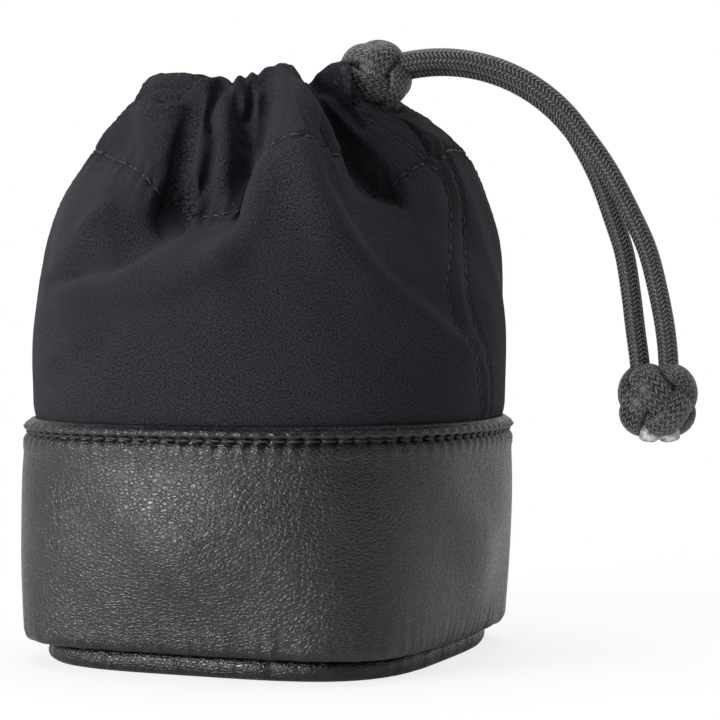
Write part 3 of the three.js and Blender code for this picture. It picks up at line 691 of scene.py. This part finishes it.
lines = {angle: from_picture(points) for angle, points in seen_lines.items()}
lines.update({angle: np.array(points, float) for angle, points in hidden_lines.items()})
line_angles = np.array(sorted(lines), float)
fold_points = from_camera_side(np.stack([lines[x] for x in sorted(lines)]))
rim_and_wall = smooth_cloth(np.array([[0.0, 0.5]]), np.radians(line_angles)[:, None])
cage = np.concatenate([rim_and_wall, fold_points], 1)
wrap = 4
wide_angles = np.concatenate([line_angles[-wrap:] - 360, line_angles, line_angles[:wrap] + 360])
wide_cage = np.concatenate([cage[-wrap:], cage, cage[:wrap]])


def grid_normals(grid):
    """Outward directions of a grid whose columns go round the pouch: the cross product of the steps
    round and up."""
    return unit(np.cross(np.roll(grid, -1, axis=1) - np.roll(grid, 1, axis=1), np.gradient(grid, axis=0)))


def bell_across(x, y, run, right_hand, left_hand):
    """A bell curve across a run of points: the distance from its nearest stretch over the width there,
    which each hand of the run has of its own."""
    best = np.full(np.broadcast(x, y).shape, 1e9)
    side = np.zeros(best.shape)
    for (x0, y0), (x1, y1) in zip(run[:-1], run[1:]):
        dx, dy = x1 - x0, y1 - y0
        t = np.clip(((x - x0) * dx + (y - y0) * dy) / (dx * dx + dy * dy), 0, 1)
        off_x, off_y = x - x0 - t * dx, y - y0 - t * dy
        far_off = off_x**2 + off_y**2
        nearer = far_off < best
        best = np.where(nearer, far_off, best)
        side = np.where(nearer, dx * off_y - dy * off_x, side)
    return np.exp(-best / np.where(side > 0, right_hand, left_hand)**2)


def strokes_height(angle, place, strokes):
    """Small folds and creases on the panel. A stroke is its height, its width in mm and its points as
    (angle, place) pairs, and stands out as a bell curve across them."""
    size = np.array([degree_length, place_length])
    return sum(height * bell_across(angle * size[0], place * size[1], np.array(points) * size, width, width)
               for height, width, points in strokes)


columns = 720
angles = np.linspace(-180, 180, columns, endpoint=False)
places = np.concatenate([np.linspace(0.0, 1.0, 32), np.linspace(1.015, 1.40, 26),
                         np.linspace(1.409, 1.451, 6), np.linspace(1.462, 2.0, 46)])
# The cloth's outer face: the thread lines' points, each times its share round the pouch, which goes on
# round, and its share up the line.
by_angle = spline_shares(wide_angles, (angles - line_angles[0]) % 360 + line_angles[0])
outer_cloth = np.einsum("ak,klc,pl->pac", by_angle, wide_cage, spline_shares(line_places, places))
# The two rows of stitches beside the side seam, and the row beside the slit that the cord comes out of.
seam_front = [(-8.7, 1.40), (-5.3, 1.31), (-4.7, 1.17), (-9.3, 0.94), (-17, 0.73), (-17.3, 0.61), (-16, 0.49),
              (-14.2, 0.39), (-10.7, 0.29), (-6.7, 0.18), (-4, 0.10), (-2.7, 0.03)]
seam_back = [(-3.3, 1.42), (0, 1.38), (2, 1.30), (2.9, 1.2), (3, 1.09), (0.8, 0.92), (-6.2, 0.73), (-8, 0.61),
             (-7, 0.49), (-4.8, 0.39), (-0.9, 0.27), (2, 0.14), (2.7, 0.03)]
slit_row = [(-9.5, 1.44), (-10.7, 1.52), (-13.3, 1.62), (-16, 1.67), (-18.7, 1.73), (-19.6, 1.8), (-21, 1.88),
            (-22, 1.96)]
seam_fold = [(-5.5, 1.4), (-2, 1.31), (-0.8, 1.17), (-4, 0.94), (-11.5, 0.73), (-12.8, 0.61), (-11.6, 0.49),
             (-9.6, 0.39), (-6, 0.28), (-2.5, 0.17), (0, 0.03)]
small_folds = [
    (-0.45, 0.9, seam_front), (-0.45, 0.9, seam_back), (-0.45, 0.9, slit_row), (0.35, 1.6, seam_fold),
    (-1.3, 0.7, [(-6.5, 1.47), (-6.4, 1.62), (-6, 1.8), (-5.5, 2.0)]),
]
up = places[:, None]
rad = np.radians(angles[None, :])
from_stitches = (up - stitch_place) * place_length
lift = strokes_height(angles[None, :], up, small_folds)
# Low waves on the body and finer ones towards the mouth, the grooves along the channel's stitches and
# the rim, and the puckers beside the stitches.
lift = lift + 0.28 * ripple(rad + 0.35 * up, (9, 14, 19, 23), 11) * np.clip(up, 0, 1)
lift = lift + 0.10 * ripple(rad + 1.1 * np.sin(3 * up), (37, 51, 64), 12) * np.clip(up - 0.6, 0, 1)
lift = lift - 0.42 * bell(from_stitches, 0, 0.9)
lift = lift - 0.5 * bell(up * place_length, 0, 1.5)
lift = lift + 0.22 * ripple(rad + 0.05 * np.cos(9 * up), (59, 73, 88, 101), 13) * bell(from_stitches, 0, 4)
outer_ways = grid_normals(outer_cloth)


def to_picture(points):
    """The pixel column and row at which the camera sees points: the way back of from_picture."""
    c, s = math.cos(camera_turn), math.sin(camera_turn)
    across = points[..., 0] * c + points[..., 1] * s
    scale = picture_focus / (camera_distance - points[..., 0] * s + points[..., 1] * c)
    row = level_row - (points[..., 2] - camera_height) * scale
    return picture_middle + (across - camera_across) * scale, row


def folds_seen(points, ways, folds):
    """How far the folds that the picture shows stand out. A fold is its height in mm, its widths in
    pixels on the right hand and the left hand of its run, and its run in pixels. Its height falls off as
    a bell curve across the run, times the square of how far a face looks at the camera."""
    column, row = to_picture(points)
    share = np.clip(ways @ to_camera / 0.4, 0, 1)**2
    return share * sum(height * bell_across(column, row, run, right_hand, left_hand)
                       for height, right_hand, left_hand, run in folds)


# The folds on the body: the long one from the big pleat to the seam with the dip on its right, and the
# deep crease and the shelf under the left flap.
body_folds = [
    (1.6, 30, 16, [(312, 150), (322, 185), (340, 215), (358, 245), (385, 283), (410, 305), (440, 330),
                   (462, 350)]),
    (-1.3, 14, 30, [(322, 150), (336, 186), (354, 214), (374, 243), (402, 276), (430, 300), (455, 322)]),
    (0.5, 12, 12, [(345, 172), (368, 200), (398, 224), (425, 240)]),
    (-1.7, 4, 11, [(326, 128), (336, 148), (352, 174), (374, 194), (390, 203)]),
    (1.0, 12, 4, [(300, 85), (316, 116), (331, 146), (347, 172), (368, 192), (392, 206)]),
    (1.2, 9, 9, [(108, 208), (88, 225), (70, 243), (55, 262), (50, 276)]),
    (-3.6, 24, 15, [(182, 212), (150, 232), (118, 249), (88, 260), (66, 268)]),
    (2.0, 17, 16, [(267, 172), (259, 197), (247, 224), (233, 247), (214, 263), (190, 276), (150, 287),
                   (100, 293), (66, 295)]),
    (-0.7, 12, 12, [(112, 328), (98, 348), (74, 366), (44, 379)]),
    (0.6, 8, 8, [(74, 343), (55, 356), (41, 371)]),
]
# The pleats of the channel, from the left flap's turned edge to the dip beside the sliding knot.
mouth_folds = [
    (1.5, 3.5, 11, [(205, 84), (190, 88), (175, 92), (160, 98), (145, 106), (130, 117), (112, 133)]),
    (-2.4, 5, 3, [(200, 80), (188, 84), (173, 87), (158, 91), (143, 99), (128, 110), (108, 127)]),
    (0.8, 3, 6, [(194, 91), (184, 100), (172, 107), (155, 112)]),
    (-1.3, 4, 3, [(187, 92), (176, 99), (163, 104)]),
    (-3.0, 14, 11, [(193, 100), (188, 120), (184, 142), (179, 168), (174, 192), (170, 205)]),
    (0.8, 9, 9, [(204, 90), (200, 120), (198, 150), (194, 176)]),
    (-1.7, 4, 3.5, [(223, 88), (214, 102), (209, 118), (210, 130)]),
    (-0.9, 6, 4, [(215, 137), (215, 152), (209, 172), (206, 186)]),
    (1.1, 8, 9, [(230, 98), (224, 114), (225, 135), (226, 160), (221, 184)]),
    (-1.3, 7, 7, [(236, 98), (240, 115), (246, 135), (250, 158), (249, 178)]),
    (-2.0, 4, 4, [(252, 88), (252, 104), (250, 117)]),
    (0.6, 4, 4, [(244, 92), (243, 112)]),
    (0.6, 4, 4, [(258, 90), (259, 114)]),
    (-1.2, 5, 5, [(262, 84), (267, 100), (267, 120), (262, 146)]),
    (-0.9, 5, 5, [(309, 80), (316, 86), (320, 91)]),
    (0.7, 7, 8, [(352, 118), (366, 138), (380, 158), (396, 176)]),
    (1.0, 5, 6, [(303, 88), (314, 102), (328, 104), (345, 122), (362, 140)]),
    (-1.2, 6, 6, [(330, 92), (345, 110), (360, 128)]),
]
lift = lift + folds_seen(outer_cloth, outer_ways, body_folds + mouth_folds)
# Towards the mouth's edge the folds run out into an even line.
evened = sum(np.roll(lift, k, axis=1) for k in range(-5, 6)) / 11
lift = lift + (evened - lift) * np.clip((up - 1.9) / 0.1, 0, 1)
# The pleats' round tops, with notches between them: the rise of the edge and its width in pixels, at a
# column. A pixel is about 0.2 mm there.
edge_tops = [(2.5, 10, 217), (-6, 4, 230), (2, 5, 238), (-4, 4, 246), (1, 4, 252), (-4, 4, 258), (3, 8, 268)]
pixel = 0.2
edge_column = to_picture(outer_cloth)[0]
rise = sum(high * pixel * bell(edge_column, column, wide) for high, wide, column in edge_tops)
rise = rise * np.clip((up - 1.8) / 0.2, 0, 1)**2 * np.clip(outer_ways @ to_camera * 4, 0, 1)
outer_cloth = outer_cloth + lift[..., None] * outer_ways
outer_cloth[..., 2] += rise
outer_ways = grid_normals(outer_cloth)


def shaped_rows(place):
    """Rows of the cloth's outer face with all its folds: a straight blend of the two nearest rows."""
    at = np.interp(place, places, np.arange(len(places)))
    low = np.minimum(at.astype(int), len(places) - 2)
    t = (at - low)[:, None, None]
    return outer_cloth[low] * (1 - t) + outer_cloth[low + 1] * t


def eased_inside(rows, depth, reach):
    """Rings inside the folds: at each column the shortest distance from the row's middle among the
    columns within reach, smoothed with weights that fall off evenly over the same reach. Four fifths of
    the depth go inwards, and half of it goes down."""
    middle = rows.mean(axis=1, keepdims=True)
    flat = rows - middle
    radius = np.hypot(flat[..., 0], flat[..., 1])
    swing = (np.arctan2(flat[..., 1], flat[..., 0]) - np.radians(angles) + math.pi) % (2 * math.pi) - math.pi
    steps = range(-reach, reach + 1)
    shortest = np.min([np.roll(radius, k, axis=1) for k in steps], axis=0)
    weights = np.array([reach + 1 - abs(k) for k in steps], float)
    weights /= weights.sum()
    soft_radius, soft_swing, soft_z = (sum(w * np.roll(v, k, axis=1) for w, k in zip(weights, steps))
                                       for v in (shortest, swing, rows[..., 2]))
    depth = np.reshape(depth, (-1, 1))
    ring = around(soft_radius - 0.8 * depth, soft_z - 0.5 * depth, np.radians(angles) + soft_swing)
    return middle * flattened + ring


# The rows of the whole cloth: up from the tuck behind the rim, over the outer face and the rolled edge,
# down the facing that closes the channel, and down the cloth's back to the tuck again.
tuck_top = rim_z - 2.5
tuck_foot = rim_z - tuck
edge_radius = 0.9
edge_thickness = 1.9
tuck_rows = wall_point(np.array([[tuck_foot], [tuck_top]]), 3.1, rad)
edge_way = unit(sum(np.roll(outer_ways[-1:], k, axis=1) for k in range(-6, 7)))
bend = np.linspace(0, math.pi, 7)[1:, None, None]
edge_up = unit(outer_cloth[-1:] - outer_cloth[-2:-1])
edge_roll = outer_cloth[-1:] + edge_radius * (edge_way * (np.cos(bend) - 1) + edge_up * np.sin(bend))
edge_inside = outer_cloth[-4:-1][::-1] - edge_thickness * edge_way
facing_places = np.array([1.93, 1.88, 1.81, 1.73, 1.64, 1.55, 1.47, 1.43])
facing_depths = np.array([3.6, 5.6, 6.6, 6.6, 5.8, 4.2, 2.6, 2.0])
facing = eased_inside(shaped_rows(facing_places), facing_depths, 30)
facing_waves = 0.35 * (ripple(rad, (33, 44, 58), 15) * np.sin(np.pi * np.linspace(0.1, 0.9, 8))[:, None])
facing = facing + facing_waves[..., None] * unit(facing * flattened)
back_places = np.array([1.38, 1.2, 1.0, 0.8, 0.5, 0.25, 0.05])
back_of_cloth = eased_inside(shaped_rows(back_places), np.full(7, 1.0), 15)
tuck_back = wall_point(np.array([[tuck_top], [tuck_foot]]), 3.9, rad)
cloth_grid = np.concatenate([tuck_rows, outer_cloth, edge_roll, edge_inside, facing, back_of_cloth,
                             tuck_back])

# The panel's own measure: across it in turns and up it in turns of the same length. A place counts as
# 41.5 mm of panel here.
panel_place = 41.5
row_places = np.concatenate([[-tuck / place_length, -2.5 / place_length], places, np.full(6, 2.0),
                             [2.01, 2.02, 2.03], 4 - facing_places, 2.65 + np.linspace(0, 1.4, 7),
                             [4.1, 4.2]])
cloth_uv = np.stack(np.broadcast_arrays((angles / 360 + 0.5)[None, :],
                                        (row_places * panel_place / panel_width)[:, None]), -1)

# Plain-woven cotton and nylon, dyed black: matt, with a fine grain of crossing threads, whose tops are
# painted lighter and whose hollows are painted darker as painted light and shade, and a faint bloom of
# loose fibres at grazing angles. The real threads are 0.25 mm apart. They are drawn coarser, as two
# crossing noises whose cells are 0.18 by 0.44 mm.
woven, tree, where = new_material("plain_woven_black_cloth")
uv = add_node(tree, "SeparateXYZ", {0: add_node(tree, "UVMap", uv_map="along")})
flat = add_node(tree, "CombineXYZ", {0: uv.outputs[0], 1: uv.outputs[1]})
threads = []
for cells_a_turn in ((1700.0, 700.0, 1.0), (700.0, 1700.0, 1.0)):
    stretched = add_node(tree, "Mapping", {"Vector": flat, "Scale": cells_a_turn})
    threads.append(add_node(tree, "TexNoise", {"Vector": stretched, "Scale": 1.0, "Detail": 0.0}))
height = add_node(tree, "Math", {0: threads[0], 1: threads[1]}, operation="ADD")
worn = add_node(tree, "TexNoise", {"Vector": where, "Scale": 45.0, "Detail": 3.0})
# Painted light and shade: where the threads' bump height is high the colour is painted lighter, and in the
# hollows darker, over random patches.
painted_thread_top_light = add_node(tree, "MapRange", {"Value": height, "From Min": 0.75, "From Max": 1.3})
patches_and_painted_thread_light = add_node(tree, "Math", {0: worn, 1: 0.25, 2: painted_thread_top_light}, operation="MULTIPLY_ADD")
colour = add_node(tree, "Mix", {0: patches_and_painted_thread_light, 6: linear("040406"), 7: linear("2d2c33")}, data_type="RGBA")
grain = add_node(tree, "Bump", {"Height": height, "Strength": 0.8, "Distance": 0.0001})
surface = add_node(tree, "BsdfPrincipled", {"Base Color": colour.outputs[2], "Roughness": 0.9,
                                            "Normal": grain, "Sheen Weight": 0.06, "Sheen Roughness": 0.4,
                                            "Sheen Tint": linear("a0a0ac"), "Specular IOR Level": 0.12})
add_node(tree, "OutputMaterial", {"Surface": surface})
cloth = make_piece("gathered_cloth", [(cloth_grid, True, False, cloth_uv)], woven)
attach(cloth, "pouch")
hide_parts("cloth_body")

# The cord's loop: the rest of the same braided length, run round the mouth in the channel, between the
# cloth and its turned-in hem. Its two ends come out under the sliding knot as the strands.
loop_row = eased_inside(shaped_rows(np.array([1.88])), np.array([2.95]), 30)[0]
far_side = np.vstack([loop_row[angles > 70], loop_row[angles < -55]])[::20]
loop_line = smooth_route(np.vstack([back_start[0], far_side, front_start[0]]), 1.0)
loop_rings = tube_rings(loop_line, np.array([0.0, 0.0, 1.0]), cord_radius, cord_radius, 16)
channel_loop = make_piece("channel_loop", [(loop_rings, False, True, cord_uv(loop_rings, loop_line))], braid)
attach(channel_loop, "pouch")
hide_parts("channel_cord")

# The stitches: black polyester thread, twisted from two plies. Each shows as a short raised stroke
# that sinks into the cloth or the leather at both ends.
polyester, tree, where = new_material("twisted_polyester_thread")
plies = add_node(tree, "TexNoise", {"Vector": where, "Scale": 2500.0, "Detail": 1.0})
ply_colour = add_node(tree, "Mix", {0: plies, 6: linear("040405"), 7: linear("141418")}, data_type="RGBA")
ply_bump = add_node(tree, "Bump", {"Height": plies, "Strength": 0.5, "Distance": 0.0001})
surface = add_node(tree, "BsdfPrincipled", {"Base Color": ply_colour.outputs[2], "Roughness": 0.55,
                                            "Normal": ply_bump})
add_node(tree, "OutputMaterial", {"Surface": surface})
bar_rings = 7
bar_sides = 8


def stitched(name, node, lines_and_ways, pitch, length, radius):
    """Stitches along lines on a face: every pitch a bar of the length, whose middle stands half a radius
    out and whose ends dip in by a fourth power, with a round section that thins at the ends."""
    along = np.linspace(-1, 1, bar_rings)
    turn = np.linspace(0, 2 * math.pi, bar_sides, endpoint=False)
    rise = radius * (0.55 - 1.25 * along**4)
    thick = (radius * np.sqrt(1 - 0.8 * along**6))[None, :, None, None]
    bars = []
    for line, ways in lines_and_ways:
        reach = lengths_along(line)
        marks = np.arange(pitch / 2, reach[-1], pitch)
        ahead = unit(read_along(line, reach, marks + 0.5) - read_along(line, reach, marks - 0.5))
        way = unit(read_along(ways, reach, marks))
        side = unit(np.cross(ahead, way))
        centre = read_along(line, reach, marks)[:, None] + ahead[:, None] * (along * length / 2)[:, None]
        centre = (centre + way[:, None] * rise[:, None])[:, :, None]
        section = np.cos(turn)[:, None] * side[:, None, None] + np.sin(turn)[:, None] * way[:, None, None]
        bars.append(centre + thick * section)
    bars = np.concatenate(bars)
    points_of_bar = bar_rings * bar_sides
    quads = skin_faces(bar_rings, bar_sides)[:, ::-1]
    ends = np.array([list(range(bar_sides)), list(range(points_of_bar - bar_sides, points_of_bar))[::-1]])
    first = (np.arange(len(bars)) * points_of_bar)[:, None, None]
    faces = (quads + first).reshape(-1, 4).tolist() + (ends + first).reshape(-1, bar_sides).tolist()
    mesh = bpy.data.meshes.new(name)
    mesh.from_pydata((bars.reshape(-1, 3) * MM).tolist(), [], faces)
    made = smooth_object(name, mesh, polyester)
    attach(made, "pouch")
    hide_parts(node)


def on_cloth(row):
    """A smooth line on the cloth through (angle, place) points, and the cloth's outward ways along it,
    each blended from the four grid points round it."""
    p = np.array(row, float)
    flat_points = np.column_stack([p[:, 0] * degree_length, p[:, 1] * place_length, 0 * p[:, 0]])
    flat_line = smooth_route(flat_points, 0.5)
    angle, place = flat_line[:, 0] / degree_length, flat_line[:, 1] / place_length
    column = (angle + 180) / 360 * columns
    low_column = np.floor(column).astype(int)
    row_at = np.interp(place, places, np.arange(len(places)))
    low_row = np.clip(np.floor(row_at).astype(int), 0, len(places) - 2)
    s, t = (column - low_column)[:, None], (row_at - low_row)[:, None]
    c0, c1 = low_column % columns, (low_column + 1) % columns

    def read(grid):
        return ((1 - t) * ((1 - s) * grid[low_row, c0] + s * grid[low_row, c1])
                + t * ((1 - s) * grid[low_row + 1, c0] + s * grid[low_row + 1, c1]))
    return read(outer_cloth), read(outer_ways)


turn = np.linspace(0, 2 * math.pi, 721)
hem_out = unit(around(1, 0, turn))
hem_line = wall_point(stitch_z + 0 * turn, -0.02, turn) - 0.36 * hem_out
stitched("hem_stitches", "hem_thread", [(hem_line, hem_out)], 3.1, 2.5, 0.3)
slit_angle = -8.5
ring_of_stitches = [(x, stitch_place) for x in np.linspace(slit_angle - 351, slit_angle, 240)]
stitched("channel_stitches", "channel_thread", [on_cloth(ring_of_stitches)], 2.9, 2.2, 0.27)
front_rows = [on_cloth(seam_front), on_cloth(slit_row)]
stitched("seam_stitches_front", "seam_thread_front", front_rows, 2.9, 2.1, 0.24)
stitched("seam_stitches_back", "seam_thread_back", [on_cloth(seam_back)], 2.9, 2.1, 0.24)

# The lining: a bag of thin smooth nylon, sewn in at the foot and under the channel, which lies loose
# along the wall and follows the cloth's folds softly.
nylon, tree, where = new_material("smooth_nylon_lining")
# Painted light and shade: the colour follows the folds' bump noise, lighter on the fold tops and darker in
# their hollows.
folds_noise = add_node(tree, "TexNoise", {"Vector": where, "Scale": 60.0, "Detail": 3.0})
nylon_painted_fold_shading = add_node(tree, "Mix", {0: folds_noise, 6: linear("26262c"), 7: linear("3a3a42")},
                        data_type="RGBA")
nylon_bump = add_node(tree, "Bump", {"Height": folds_noise, "Strength": 0.5, "Distance": 0.0008})
surface = add_node(tree, "BsdfPrincipled", {"Base Color": nylon_painted_fold_shading.outputs[2], "Roughness": 0.5,
                                            "Normal": nylon_bump})
add_node(tree, "OutputMaterial", {"Surface": surface})

lining_low = np.array([7.8, 8.6, 15, 25, 35, 44, 47.5])[:, None]
lining_places = np.array([0.08, 0.25, 0.5, 0.75, 0.95, 1.1, 1.22, 1.33])
coarse_rad = rad[:, ::4]
lining_row = np.arange(15)[:, None]
gentle = 0.3 * ripple(coarse_rad + 0.1 * lining_row, (7, 12, 17), 21) * np.clip(lining_row - 7, 0, 1)


def lining_face(wall_inset, cloth_depth):
    """The lining's rows up the wall at an inset and up the cloth's inside at a depth, every fourth
    column."""
    above = eased_inside(shaped_rows(lining_places), np.full(8, cloth_depth), 15)
    return np.concatenate([wall_point(lining_low, wall_inset, rad), above])[:, ::4]


lining_out = lining_face(5.0, 2.4)
pulled_in = np.abs(gentle)[..., None] * unit(lining_out * flattened)
lining_grid = np.concatenate([lining_out - pulled_in, (lining_face(5.7, 3.2) - pulled_in)[::-1]])
lining = make_piece("lining_bag", [(lining_grid, True, False, None)], nylon)
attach(lining, "pouch")
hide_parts("lining_sleeve")


def flat_pad(half, power, low, high, roll, swell):
    """A flat rounded pad: rings that shrink to the middle on both faces, joined by a round edge, and a
    top that swells towards the middle by a quarter cosine."""
    turn = np.linspace(0, 2 * math.pi, 121)[None, :-1]
    tip = np.linspace(-math.pi / 2, math.pi / 2, 9)[:, None]
    middle_z, half_z = (low + high) / 2, (high - low) / 2
    edge_reach = square_reach(half - roll + roll * np.cos(tip), power, turn)
    edge = around(edge_reach, middle_z + half_z * np.sin(tip), turn)
    shares = np.array([0.85, 0.65, 0.45, 0.25, 0.08])[:, None, None]
    top_face = edge[-1:] * flattened * shares
    top_face[..., 2] = high + swell * np.cos(math.pi / 2 * shares[..., 0])
    bottom_face = edge[:1] * flattened * shares
    bottom_face[..., 2] = low
    return np.concatenate([bottom_face[::-1], edge, top_face])


floor_panel = flat_pad(37.8, 4.6, 6.8, 7.5, 0.4, -0.05)
floor_sheet = make_piece("lining_floor_panel", [(floor_panel, False, True, None)], nylon)
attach(floor_sheet, "pouch")
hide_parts("lining_floor")

# The padding: closed-cell foam, cut from a dull grey sheet with a faint texture of tiny bubbles. A pad
# lies on the board, and a strip bent to a sleeve stands behind the leather.
foam, tree, where = new_material("closed_cell_foam")
bubbles = add_node(tree, "TexVoronoi", {"Vector": where, "Scale": 2500.0})
foam_bump = add_node(tree, "Bump", {"Height": bubbles.outputs[0], "Strength": 0.3, "Distance": 0.0002})
surface = add_node(tree, "BsdfPrincipled", {"Base Color": linear("55555a"), "Roughness": 0.9,
                                            "Normal": foam_bump})
add_node(tree, "OutputMaterial", {"Surface": surface})
foam_pad = flat_pad(37.0, 3.7, 3.5, 6.35, 1.2, 0.1)
base_foam = make_piece("base_foam", [(foam_pad, False, True, None)], foam)
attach(base_foam, "pouch")
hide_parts("base_padding")
foam_rows = np.concatenate([[7.2, 7.4, 8.0], np.linspace(9, 39, 11), [40.2, 40.7, 40.9]])[:, None]
foam_thinning = 1.1 * np.interp(foam_rows, [7.2, 7.4, 8.0, 40.2, 40.7, 40.9], [1.0, 0.5, 0.0, 0.0, 0.5, 1.0])
foam_angles = np.linspace(0, 2 * math.pi, 181)[None, :-1]
foam_wall = np.concatenate([wall_point(foam_rows, 1.8 + foam_thinning, foam_angles),
                            wall_point(foam_rows, 4.6 - foam_thinning, foam_angles)[::-1]])
wall_foam = make_piece("wall_foam", [(foam_wall, True, False, None)], foam)
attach(wall_foam, "pouch")
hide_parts("wall_padding")

# The board inside the foot: pressed paper pulp, matt, with faint mottling. It keeps its own solid.
pulp, tree, where = new_material("pressed_grey_board")
mottle = add_node(tree, "TexNoise", {"Vector": where, "Scale": 300.0, "Detail": 4.0})
pulp_colour = add_node(tree, "Mix", {0: mottle, 6: linear("6d6a64"), 7: linear("8b877f")}, data_type="RGBA")
surface = add_node(tree, "BsdfPrincipled", {"Base Color": pulp_colour.outputs[2], "Roughness": 0.85})
add_node(tree, "OutputMaterial", {"Surface": surface})
board_mesh = bpy.data.objects["base_board"].data
board_mesh.materials.clear()
board_mesh.materials.append(pulp)
